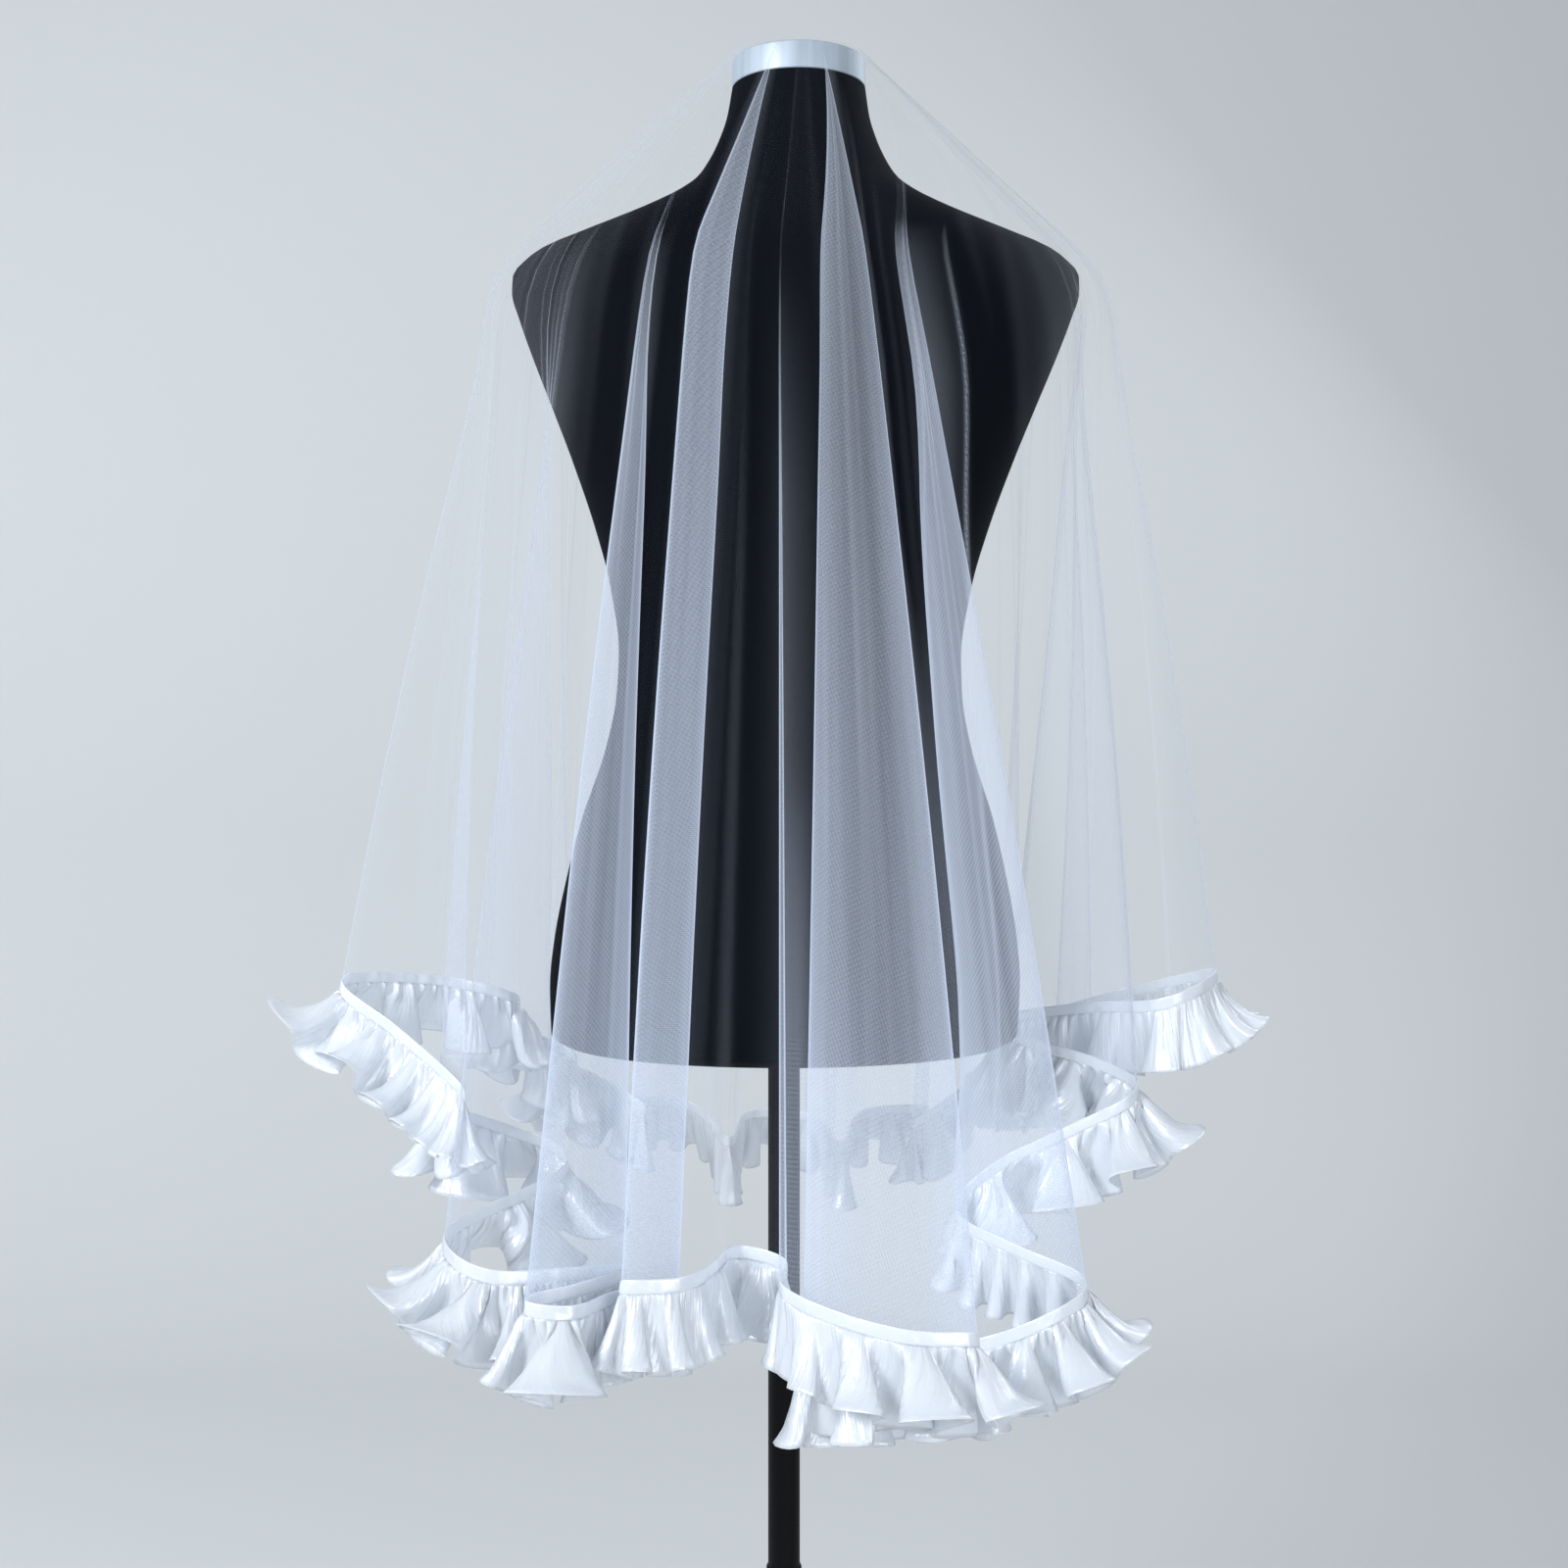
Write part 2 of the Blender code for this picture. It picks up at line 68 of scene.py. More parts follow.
def add_surface(name, grid, material, closed=True, caps=(), flip=False):
    """A smooth mesh from an array of rows x columns x 3. caps lists the rows that are filled with a face."""
    rows, columns = grid.shape[:2]
    faces = grid_faces(rows, columns, closed)
    if flip:
        faces = faces[:, ::-1]
    polygons = faces.tolist() + [list(range(row * columns, (row + 1) * columns)) for row in caps]
    mesh = bpy.data.meshes.new(name)
    mesh.from_pydata(grid.reshape(-1, 3).tolist(), [], polygons)
    if caps:
        work = bmesh.new()
        work.from_mesh(mesh)
        bmesh.ops.recalc_face_normals(work, faces=work.faces)
        work.to_mesh(mesh)
        work.free()
    mesh.materials.append(material)
    mesh.shade_smooth()
    piece = bpy.data.objects.new(name, mesh)
    bpy.context.scene.collection.objects.link(piece)
    print(name, "has", rows, "rows of", columns, "points")
    return piece


def add_values(piece, name, values):
    """Keeps one number for each point of a piece, which a material reads by its name."""
    layer = piece.data.attributes.new(name, "FLOAT", "POINT")
    layer.data.foreach_set("value", np.ascontiguousarray(values, np.float32).ravel())


def add_cloth_map(piece, across, down, columns):
    """A UV map in metres of cloth. Each face reads its corners' places along (across) and down the cloth,
    and the faces that close the ring read the first column's place one turn further on."""
    corners = np.empty(len(piece.data.loops), np.int64)
    piece.data.loops.foreach_get("vertex_index", corners)
    column = corners % columns
    row = corners // columns
    turn = across[-1] + (across[-1] - across[-2])
    starts = np.empty(len(piece.data.polygons), np.int64)
    sizes = np.empty(len(piece.data.polygons), np.int64)
    piece.data.polygons.foreach_get("loop_start", starts)
    piece.data.polygons.foreach_get("loop_total", sizes)
    face = np.repeat(np.arange(len(starts)), sizes)
    highest = np.zeros(len(starts), np.int64)
    np.maximum.at(highest, face, column)
    wraps = (highest[face] == columns - 1) & (column == 0) & (sizes[face] == 4)
    u = across[column] + turn * wraps
    layer = piece.data.uv_layers.new(name="cloth")
    layer.data.foreach_set("uv", np.stack([u, down[row]], axis=1).astype(np.float32).ravel())


# %% [markdown]
# A material starts from what the real one is. Colours are given as the hex values that a screen shows,
# and Blender works in linear light, so one function turns them. One more adds a node with its settings
# and its links.


# %% Colours and nodes
def linear(code):
    """Linear red, green and blue, and 1 for alpha, from a hex colour: each channel below 0.04045 is divided
    by 12.92, and any other is raised to the power 2.4 after a small shift."""
    channels = np.array([int(code[i : i + 2], 16) for i in (1, 3, 5)]) / 255
    light = np.where(channels <= 0.04045, channels / 12.92, ((channels + 0.055) / 1.055) ** 2.4)
    return (*light.tolist(), 1.0)


def node(material, kind, settings=None, *values, give=0, **links):
    """Adds a node and gives one of its outputs, the first unless give names another. settings holds the
    node's properties, or only the name of its operation. values fill its inputs in order, and links fill
    them by name, with _ for a space. A socket is linked, and a number or a colour is set."""
    made = material.node_tree.nodes.new("ShaderNode" + kind)
    if isinstance(settings, str):
        settings = {"operation": settings}
    for name, value in (settings or {}).items():
        setattr(made, name, value)
    inputs = list(zip(made.inputs, values))
    inputs += [(made.inputs[name.replace("_", " ")], value) for name, value in links.items()]
    for socket, value in inputs:
        if isinstance(value, bpy.types.NodeSocket):
            material.node_tree.links.new(value, socket)
        else:
            socket.default_value = value
    return made.outputs[give]


def new_material(name):
    """A material with an empty node tree but for its output."""
    material = bpy.data.materials.new(name)
    material.use_nodes = True
    shader = material.node_tree.nodes["Principled BSDF"]
    material.node_tree.nodes.remove(shader)
    return material


def finish_with(material, shader):
    """Links a shader's socket to the material's output."""
    output = material.node_tree.nodes["Material Output"]
    material.node_tree.links.new(shader, output.inputs["Surface"])


# %% [markdown]
# ## The camera
# The camera stands level with the form's waist, and close: 1.25 m in front of the form's middle plane. So
# near flutes look larger than far ones. The view is lowered a little by a shift of the lens rather than by
# a tilt, which keeps upright lines upright.

# %% Camera
VIEW_DISTANCE = 1.25  # metres, as all lengths here but the sensor's
EYE_HEIGHT = 1.10
PICTURE_WIDTH = 1.088  # metres of the form's middle plane that the picture takes in
SENSOR_WIDTH = 36.0  # millimetres, as Blender gives a sensor
HORIZON_RISE = 0.06  # how far above the picture's middle the horizon lies, as a share of its width

camera_data = bpy.data.cameras.new("camera")
camera_data.sensor_width = SENSOR_WIDTH
camera_data.lens = SENSOR_WIDTH * VIEW_DISTANCE / PICTURE_WIDTH
camera_data.shift_y = -HORIZON_RISE
camera = bpy.data.objects.new("camera", camera_data)
camera.location = (0, -VIEW_DISTANCE, EYE_HEIGHT)
camera.rotation_euler = (math.pi / 2, 0, 0)
bpy.context.scene.collection.objects.link(camera)
bpy.context.scene.camera = camera
print("lens", round(camera_data.lens, 1), "mm")

# %% [markdown]
# ## The line of the hem
# The drape follows from one closed line, the hem of the tulle. A table holds each turn and face of it, in
# order round the veil: where it passes, where that line of cloth crosses the shoulders, and how the ruffle
# leans below it. Where the net is folded up small between two turns, many layers lie on one another, and
# the last columns give how much of the view such a stack covers and where it starts. A cloth simulation
# could find a drape by itself, but not this one, since the shop's own pinching and laying made it.

# %% The fold table
FLUTES = [
    # name, across, front, height, ring angle, ring gap, flare, cover, starts. Lengths in mm, angle in
    # degrees. A stack starts at a level of the cloth: -1 at the cap, 0 at the shoulders and 1 at the hem.
    ("left_tip", -309, 0, 900, -92, 0, 40, 0.03, -0.12),
    ("left_face", -258, 34, 870, -82, 4.5, 34, 0.01, -0.12),
    ("left_nose", -205, 80, 838, -71, 9, 26, 0.07, -0.12),
    ("left_return", -238, 12, 818, -66, 0, -6, 0.06, -0.12),
    ("left_inner", -144, 42, 788, -54, 0, -4, 0.05, -0.12),
    ("front_left_nose", -207, 155, 770, -46, 0, 36, 0.08, -0.12),
    ("front_left_face", -174, 201, 762, -38, 0, 22, 0, -0.12),
    ("tuck_c_back", -132, 186, 758, -29.5, 0, -3, 0, -0.1),
    ("tuck_c_inner", -92, 158, 752, -26.6, 0, -7, 0.25, -0.1),
    ("tuck_c_middle", -118, 199, 754, -26.5, 6, -2, 0.29, -0.1),
    ("tuck_c_nose", -151, 228, 754, -26.5, 12, 14, 0.3, -0.1),
    ("tuck_c_face", -120, 238, 753, -22.5, 10.5, 14, 0, -0.1),
    ("tuck_a_back", -98, 198, 749, -19.2, 0, 0, 0.02, -0.97),
    ("tuck_a_inner", -57, 186, 750, -10.6, 0, -2, 0.3, -0.97),
    ("tuck_a_nose", -97, 226, 764, -19.2, 12, 9, 0.27, -0.97),
    ("tuck_a_face", -55, 224, 765, -9.2, 13.5, 12, 0.01, -0.97),
    ("notch_side", -40, 190, 765, -8, 7.5, 5, 0.01, 0.02),
    ("notch", -28, 146, 760, -6.4, 0, 0, 0, 0.02),
    ("tuck_e_inner", 4, 162, 755, -2.7, 0, -1, 0.03, 0.02),
    ("tuck_e_nose", -5, 188, 752, -3.3, 6, 4, 0.09, 0.02),
    ("broad_face_left", 19, 210, 745, 0.8, 13, 12, 0.025, 0.02),
    ("broad_face", 72, 234, 738, 8.5, 16, 16, 0, -0.12),
    ("broad_nose", 115, 228, 735, 11.9, 14.5, 22, 0.25, -0.97),
    ("tuck_b_middle", 64, 206, 720, 8, 8.5, 0, 0.26, -0.97),
    ("tuck_b_inner", 6, 182, 705, 3.8, 2, -5, 0.29, -0.97),
    ("tuck_b_back", 66, 174, 702, 11, 0, 0, 0.01, -0.97),
    ("front_right_back", 118, 163, 708, 14.5, 0, 3, 0.13, 0.4),
    ("front_right_face", 152, 178, 726, 16.5, 10, 14, 0, -0.12),
    ("front_right_nose", 186, 156, 740, 18.8, 15, 34, 0.24, -0.1),
    ("tuck_d_middle", 146, 114, 750, 18.6, 9, 0, 0.32, -0.1),
    ("tuck_d_inner", 110, 74, 762, 18.4, 1, -6, 0.28, -0.1),
    ("right_face_inner", 136, 58, 785, 28, 0, 0, 0, -0.12),
    ("right_face", 184, 60, 810, 43, 0, 12, 0, -0.12),
    ("right_nose", 236, 54, 836, 62, 0, 32, 0.08, -0.12),
    ("right_side", 220, 8, 844, 66, 0, -4, 0.05, -0.12),
    ("right_inner", 158, -54, 855, 69, 0, -6, 0.04, -0.12),
    ("right_inner_back", 164, -80, 860, 72, 0, -6, 0.02, -0.2),
    ("right_tip_back", 216, -38, 876, 76, 4.5, 0, 0.01, -0.2),
    ("right_tip_face", 262, 26, 891, 83, 9, 8, 0, -0.12),
    ("right_tip", 304, -10, 905, 93, 9, 34, 0.03, -0.12),
    ("back_right_side", 262, -66, 885, 99, 4.5, 8, 0, -0.2),
    ("back_right_inner", 200, -88, 862, 104, 0, -6, 0.02, -0.2),
    ("back_right_nose", 240, -142, 852, 111.5, 0, 24, 0.02, -0.2),
    ("back_right_nose_back", 224, -154, 847, 115, 0, 24, 0.02, -0.2),
    ("back_right_inner_2", 152, -108, 822, 122, 0, -9, 0.02, -0.2),
    ("back_right_nose_2", 188, -198, 797, 131.5, 0, 24, 0.02, -0.2),
    ("back_right_nose_2_back", 170, -208, 793, 134.5, 0, 24, 0.02, -0.2),
    ("back_right_inner_3", 98, -120, 772, 143, 0, -8, 0.02, -0.2),
    ("back_nose_right", 116, -234, 758, 152, 0, 15, 0.02, -0.2),
    ("back_face_right", 68, -246, 752, 160, 0, 16, 0, -0.2),
    ("back_inner_right", 44, -132, 752, 168, 0, -4, 0.02, -0.2),
    ("back_nose", 20, -242, 750, 174, 0, 14, 0.02, -0.2),
    ("back_face", -26, -244, 752, 181, 0, 14, 0, -0.2),
    ("back_inner", -42, -130, 756, 188, 0, -4, 0.02, -0.2),
    ("back_nose_left", -80, -240, 760, 196, 0, 16, 0.02, -0.2),
    ("back_face_left", -128, -220, 768, 204, 0, 10, 0, -0.2),
    ("back_left_inner_2", -104, -116, 785, 213, 0, -9, 0.02, -0.2),
    ("back_left_nose_2_back", -174, -208, 798, 223.5, 0, 18, 0.02, -0.2),
    ("back_left_nose_2", -190, -194, 803, 227, 0, 24, 0.02, -0.2),
    ("back_left_inner", -156, -110, 826, 235, 0, -6, 0.02, -0.2),
    ("back_left_nose", -234, -158, 850, 243, 0, 24, 0.02, -0.2),
    ("back_left_side", -196, -84, 874, 255, 0, -4, 0, -0.2),
    ("left_tip_back", -250, -56, 893, 262, 0, 8, 0, -0.2),
]
print("the fold table has", len(FLUTES), "rows")

# %% [markdown]
# A few sizes go with the table: those of the form and its cap, and those of the shoulders, where the slope
# of the cloth ends. Two more say how soon a line of cloth turns from its place on the cap's rim to its
# place over the shoulders. The folds in front open right under the cap and those at the sides further down.

# %% Sizes of the drape
SEAM = 0.3 * MM  # the gap between pieces that touch
FORM_BOTTOM = 857 * MM
FORM_TOP = 1516 * MM
FORM_EDGE = 20 * MM  # the height of the rounded edge under the form, which the cloth hangs clear of
FORM_LEAN = 0.0155  # how far the form's middle moves to the right on each metre up
CAP_RADIUS = 46.2 * MM
CAP_HEIGHT = 19 * MM
RIM_RADIUS = CAP_RADIUS + 1.3 * MM  # where the cloth turns down over the cap's edge
RIM_HEIGHT = FORM_TOP + 2 * SEAM + CAP_HEIGHT + 0.5 * MM  # the last part is half of the cloth's thickness
SHOULDER = np.array([202, 83, 1388]) * MM  # half width, half depth and height of the ring over the shoulders
GAP_POWER = 0.3  # below 1, the layers of a fold part soon below the cap
BODY_CLEARANCE = 3.5 * MM  # from the form's skin to the cloth that lies on it
BODY_HARDNESS = 14  # the larger, the closer the cloth follows the skin before it leaves it
BODY_FADE = 60 * MM  # how far under the form its push fades out
BELLY = 6 * MM  # how far the falling cloth bows out half way down
TURN_AT = [0, 15, 22, 45]  # degrees from the front
TURN_POWER = [0.36, 0.4, 1.0, 1.6]
print("the slope ends", round((RIM_HEIGHT - SHOULDER[2]) / MM), "mm below the cap's rim")

# %% [markdown]
# A smooth closed curve runs through the rows of the table. It is then cut into even steps, so that every
# column of the cloth is as wide as the next, and averaged a little, since cloth doesn't turn sharply. A
# curve drawn from handles would do too, but here the table's other columns are carried along with it.

# %% A smooth hem
FINE_STEP = 3 * MM  # from one column of the cloth to the next, along the hem
FOLD_ROUNDING = 12 * MM  # how far each point of the hem is averaged with its neighbours
ROW_SAMPLES = 24  # points from one row of the table to the next, before they are spaced evenly
ANGLE_COLUMNS = [3, 5]  # the ring angle and the rim angle, which are a full turn larger after each lap


def unit(vectors):
    """Vectors along an array's last axis, each divided by its length."""
    return vectors / np.linalg.norm(vectors, axis=-1, keepdims=True)


def carried(rows, turns):
    """The rows of a closed line once for each number of turns, with its angle columns carried on."""
    laps = np.repeat(rows[None], len(turns), axis=0)
    laps[:, :, ANGLE_COLUMNS] += np.array(turns)[:, None, None] * math.tau
    return laps.reshape(-1, rows.shape[1])


def smooth_loop(rows, samples):
    """A closed curve through rows of numbers, p(t) = (1 + 2t)(1 - t)^2 a + t(1 - t)^2 m + t^2(3 - 2t) b +
    t^2(t - 1) n between rows a and b with slopes m and n. Each slope comes from the two neighbours, and the
    parameter grows with the root of the distance, so tight turns stay round."""
    following = np.roll(rows, -1, axis=0)
    steps = np.sqrt(np.linalg.norm(following[:, :3] - rows[:, :3], axis=1))[:, None]
    before = np.roll(steps, 1, axis=0)
    ahead = (following - rows) / steps
    slope = (ahead * before + np.roll(ahead, 1, axis=0) * steps) / (before + steps)
    t = (np.arange(samples) / samples)[None, :, None]
    start, end = rows[:, None], following[:, None]
    out, into = (slope * steps)[:, None], (np.roll(slope, -1, axis=0) * steps)[:, None]
    curve = (1 + 2 * t) * (1 - t) ** 2 * start + t * (1 - t) ** 2 * out
    curve = curve + t**2 * (3 - 2 * t) * end + t**2 * (t - 1) * into
    return curve.reshape(-1, rows.shape[1])


def smoothed(values, reach):
    """Each row of a closed line averaged with its neighbours within a reach, for rows a FINE_STEP apart."""
    width = round(reach / FINE_STEP)
    return sum(np.roll(values, shift, axis=0) for shift in range(-width, width + 1)) / (2 * width + 1)


def step_lengths(line):
    """The lengths of the steps along a closed line, from each point to the next."""
    return np.linalg.norm((np.roll(line, -1, axis=0) - line)[:, :3], axis=1)


def fine_hem():
    """The hem as rows of x, y, z, ring angle, ring gap, rim angle, flare, cover and start, a FINE_STEP
    apart. The rim angle grows evenly with the hem's length, as the angle does on the flat oval."""
    across, front, height, angle, gap, flare, cover, starts = np.array([row[1:] for row in FLUTES], float).T
    hem = np.stack([across, -front, height], axis=1) * MM
    passed = np.cumsum(step_lengths(hem))
    rim = math.radians(angle[0]) + math.tau * np.concatenate([[0], passed[:-1]]) / passed[-1]
    rows = np.column_stack([hem, np.radians(angle), gap * MM, rim, flare * MM, cover, starts])
    curve = smooth_loop(carried(rows, [-1, 0, 1]), ROW_SAMPLES)
    curve = curve[len(rows) * ROW_SAMPLES : 2 * len(rows) * ROW_SAMPLES]
    passed = np.concatenate([[0], np.cumsum(step_lengths(curve))])
    count = round(passed[-1] / FINE_STEP)
    closed = np.vstack([curve, carried(curve[:1], [1])])
    curve = np.column_stack([np.interp(np.arange(count) * passed[-1] / count, passed, c) for c in closed.T])
    return smoothed(carried(curve, [-1, 0, 1]), FOLD_ROUNDING)[count : 2 * count]


CURVE = fine_hem()
print("the hem has", len(CURVE), "columns and is", round(step_lengths(CURVE).sum(), 2), "m long")

# %% [markdown]
# ## The dress form
# A form is a hard torso covered in stretched black jersey. Its sections are ellipses, given by their half
# width and half depth at each height, and a curve through them gives the skin. Turning a profile round the
# axis wouldn't do, as a torso is about half as deep as it is wide.

# %% The form's sections
FORM_SECTIONS = [
    # height, half width, half depth in mm
    (857, 152, 93),
    (863, 161, 102),
    (899, 162.5, 104),
    (928, 160, 103),
    (971, 152, 99),
    (1010, 142.5, 94),
    (1060, 126.5, 87),
    (1096, 119.7, 83),
    (1124, 118.5, 82),
    (1171, 125, 85),
    (1210, 135.7, 90),
    (1259, 153, 95),
    (1293, 166.5, 94),
    (1334, 183, 87),
    (1356, 191, 82),
    (1375, 196.5, 77),
    (1386, 196, 74),
    (1396, 188, 72),
    (1404, 177, 70),
    (1413, 155, 68),
    (1432, 106, 64),
    (1442, 85, 61),
    (1452, 71, 57),
    (1463, 63, 54),
    (1478, 55.5, 51),
    (1496, 49.5, 48),
    (1516, 46.2, 46.2),
]


def form_centre(height):
    """The sideways place of the form's middle at a height."""
    return FORM_LEAN * (height - FORM_BOTTOM)


def steady_curve(at, table_at, values):
    """A curve through the values that never overshoots them: between a and b it is the cubic whose end
    slopes are the harmonic mean of the slopes of the two spans that meet there, or 0 at a turn."""
    spans = np.diff(table_at)
    slopes = np.diff(values) / spans
    product = slopes[1:] * slopes[:-1]
    total = slopes[1:] + slopes[:-1]
    middle = np.where(product > 0, 2 * product / np.where(total == 0, 1, total), 0)
    ends = np.concatenate([slopes[:1], middle, slopes[-1:]])
    k = np.clip(np.searchsorted(table_at, at) - 1, 0, len(spans) - 1)
    t = np.clip((at - table_at[k]) / spans[k], 0, 1)
    rise = (1 + 2 * t) * (1 - t) ** 2 * values[k] + t**2 * (3 - 2 * t) * values[k + 1]
    return rise + spans[k] * (t * (1 - t) ** 2 * ends[k] + t**2 * (t - 1) * ends[k + 1])


def form_section(height):
    """Half width and half depth of the form at each height of an array."""
    table = np.array(FORM_SECTIONS) * MM
    return [steady_curve(height, table[:, 0], table[:, side]) for side in (1, 2)]


print("the form is", round(2 * form_section(np.array([SHOULDER[2]]))[0][0], 3), "m wide at the shoulders")

# %% [markdown]
# The cloth lies between three lines: the cap's rim, a ring over the shoulders and the hem. Each column runs
# nearly straight from one to the next, as cloth under tension does, and is pushed off the form where it
# would pass through it.


# %% From the cap to the hem
def keep_off_form(points):
    """Points pushed out level by level to lie on or outside the form. With q the place of a point as a
    share of the way to the skin, it is moved out by (1 + q^n)^(1/n) / q, which is near 1 when q is large."""
    x, y, z = np.moveaxis(points, -1, 0)
    half_width, half_depth = form_section(np.maximum(z, FORM_BOTTOM + FORM_EDGE))
    middle = form_centre(z)
    reach = np.hypot((x - middle) / (half_width + BODY_CLEARANCE), y / (half_depth + BODY_CLEARANCE))
    pushed = (1 + reach**BODY_HARDNESS) ** (1 / BODY_HARDNESS) / reach
    pushed = 1 + (pushed - 1) * np.clip((z - FORM_BOTTOM) / BODY_FADE + 1, 0, 1)
    return np.stack([middle + (x - middle) * pushed, y * pushed, z], axis=-1)


def upper_ring(curve, level):
    """The cloth between the cap's rim (level 0) and the ring over the shoulders (level 1). Each line turns
    from its rim angle to its ring angle as rim + (ring - rim) level^n, with n small for the two folds that
    open right under the cap and larger for those that open at the shoulders."""
    power = np.interp(np.abs(curve[:, 3]), np.radians(TURN_AT), TURN_POWER)
    angle = curve[:, 5] + (curve[:, 3] - curve[:, 5]) * level**power
    gap = curve[:, 4] * level**GAP_POWER
    half_width = RIM_RADIUS + (SHOULDER[0] - RIM_RADIUS) * level + gap
    half_depth = RIM_RADIUS + (SHOULDER[1] - RIM_RADIUS) * level + gap
    height = RIM_HEIGHT + (SHOULDER[2] - RIM_HEIGHT) * level
    x = form_centre(height) + half_width * np.sin(angle)
    return np.column_stack([x, -half_depth * np.cos(angle), np.full(len(curve), height)])


def lower_ring(curve, level):
    """The cloth between the ring over the shoulders (level 0) and the hem (level 1): straight lines bowed
    out a little, and pushed off the form where they meet it."""
    shoulder = upper_ring(curve, 1.0)
    points = shoulder + (curve[:, :3] - shoulder) * level
    points[:, :2] += unit(points[:, :2]) * BELLY * math.sin(math.pi * level)
    return keep_off_form(points)


def way_along(ring):
    """The way along a closed ring, half way between the two steps that meet at each point."""
    steps = unit(np.roll(ring, -1, axis=0) - ring)
    return unit(steps + np.roll(steps, 1, axis=0))


HANG_FROM = 0.8  # the way the cloth hangs at its hem is read from this level down
HANG_SMOOTHING = 15 * MM

HEM = lower_ring(CURVE, 1.0)
DOWN = unit(smoothed(unit(HEM - lower_ring(CURVE, HANG_FROM)), HANG_SMOOTHING))
OUT = unit(np.cross(DOWN, way_along(HEM)))
print("the hem's height goes from", round(HEM[:, 2].min(), 3), "to", round(HEM[:, 2].max(), 3), "m")

# %% [markdown]
# ## The materials
# Bridal tulle is a warp-knitted net of very fine white polyester. One layer hides at most a few hundredths
# of what is behind it, and more where it is seen at a slant, so its edge-on folds draw bright lines. The
# shader states that: with c the share that the threads cover and a the angle of sight, the share hidden is
# 1 - (1 - c)^(1 / cos a). Real holes could be cut for each mesh of the net, but there are some millions.

# %% The net's patterns
tulle = new_material("tulle")
NET_PITCH = 1.15 * MM  # from one row of holes to the next
NET_WAYS = ((1, 0), (0.5, 0.87), (0.5, -0.87))  # holes in rows a sixth of a turn apart
BEAT_PITCH = 3.4 * MM  # where layers of net lie on one another, their meshes beat in wider waves
BEAT_WAYS = ((0.8, 0.6), (0.8, -0.6))
STREAK_WIDTH = 9.0 * MM  # the small pleats that net takes where it is bunched
STREAK_CHANGES = 3.5  # how often such a pleat changes in a metre down the cloth
OVAL_RADIUS = 0.82  # the middle radius of the flat oval in metres


def wave(material, at, direction, pitch):
    """sin(2 pi d / pitch), with d the distance along a direction in the plane of the cloth."""
    distance = node(material, "VectorMath", "DOT_PRODUCT", at, (*direction, 0.0), give="Value")
    turns = node(material, "Math", "MULTIPLY", distance, math.tau / pitch)
    return node(material, "Math", "SINE", turns)


flat = node(tulle, "UVMap", {"uv_map": "cloth"})
hole_rows = [wave(tulle, flat, way, NET_PITCH) for way in NET_WAYS]
net = node(tulle, "Math", "ADD", node(tulle, "Math", "ADD", hole_rows[0], hole_rows[1]), hole_rows[2])
beat = node(tulle, "Math", "MULTIPLY", *[wave(tulle, flat, way, BEAT_PITCH) for way in BEAT_WAYS])
# The way from the middle of the oval, as a point on a circle about as long round as the oval's edge, gives
# streaks that run down the cloth and meet themselves after a full turn.
spoke = node(tulle, "VectorMath", "NORMALIZE", flat)
spoke = node(tulle, "VectorMath", "SCALE", spoke, Scale=OVAL_RADIUS / STREAK_WIDTH)
from_middle = node(tulle, "VectorMath", "LENGTH", flat, give="Value")
lift = node(tulle, "CombineXYZ", Z=node(tulle, "Math", "MULTIPLY", from_middle, STREAK_CHANGES))
streak_at = node(tulle, "VectorMath", "ADD", spoke, lift)
streak = node(tulle, "TexNoise", give="Fac", Vector=streak_at, Scale=1.0, Detail=2.0)
print("one metre of net has", round(1 / NET_PITCH), "rows of holes")

# %% [markdown]
# The cover of each point comes from the piece itself, as a number that grows where the cloth is bunched. The
# patterns only change it a little, and the beats and pleats come in where layers lie on one another. The
# threads are white and so fine that about half of the light that meets them goes on through them.

# %% The net's shader
NET_CHANGE = 0.14  # how far each pattern changes the cover, as a share of it
BEAT_CHANGE = 0.23
STREAK_CHANGE = 0.5
BUNCHED = (0.05, 0.14)  # the covers between which beats and pleats come in
LEAST_THREADS = 0.25  # what the patterns leave of the cover at least
LEAST_COSINE = 0.16  # keeps an edge-on surface from hiding all
THREAD_WHITE = linear("#dfe7f6")
THREAD_CLEAR = 0.48  # the share of the light on the threads that goes on through them

cover = node(tulle, "Attribute", {"attribute_name": "cover"}, give="Fac")
streak = node(tulle, "Math", "SUBTRACT", streak, 0.5)
streak = node(tulle, "Math", "MULTIPLY", streak, STREAK_CHANGE)
bunched = node(tulle, "MapRange", Value=cover, From_Min=BUNCHED[0], From_Max=BUNCHED[1])
beat = node(tulle, "Math", "MULTIPLY", beat, BEAT_CHANGE)
change = node(tulle, "Math", "MULTIPLY", node(tulle, "Math", "ADD", beat, streak), bunched)
change = node(tulle, "Math", "ADD", change, node(tulle, "Math", "MULTIPLY", net, NET_CHANGE))
change = node(tulle, "Math", "MAXIMUM", node(tulle, "Math", "ADD", 1.0, change), LEAST_THREADS)
threads = node(tulle, "Math", "MULTIPLY", cover, change)
facing = node(tulle, "LayerWeight", give="Facing", Blend=0.5)
cosine = node(tulle, "Math", "MAXIMUM", node(tulle, "Math", "SUBTRACT", 1.0, facing), LEAST_COSINE)
slant = node(tulle, "Math", "DIVIDE", 1.0, cosine)
seen_through = node(tulle, "Math", "POWER", node(tulle, "Math", "SUBTRACT", 1.0, threads), slant)
front = node(tulle, "BsdfPrincipled", Base_Color=THREAD_WHITE, Roughness=0.65, Sheen_Weight=0.1)
through = node(tulle, "BsdfTranslucent", Color=THREAD_WHITE)
thread = node(tulle, "MixShader", None, THREAD_CLEAR, front, through)
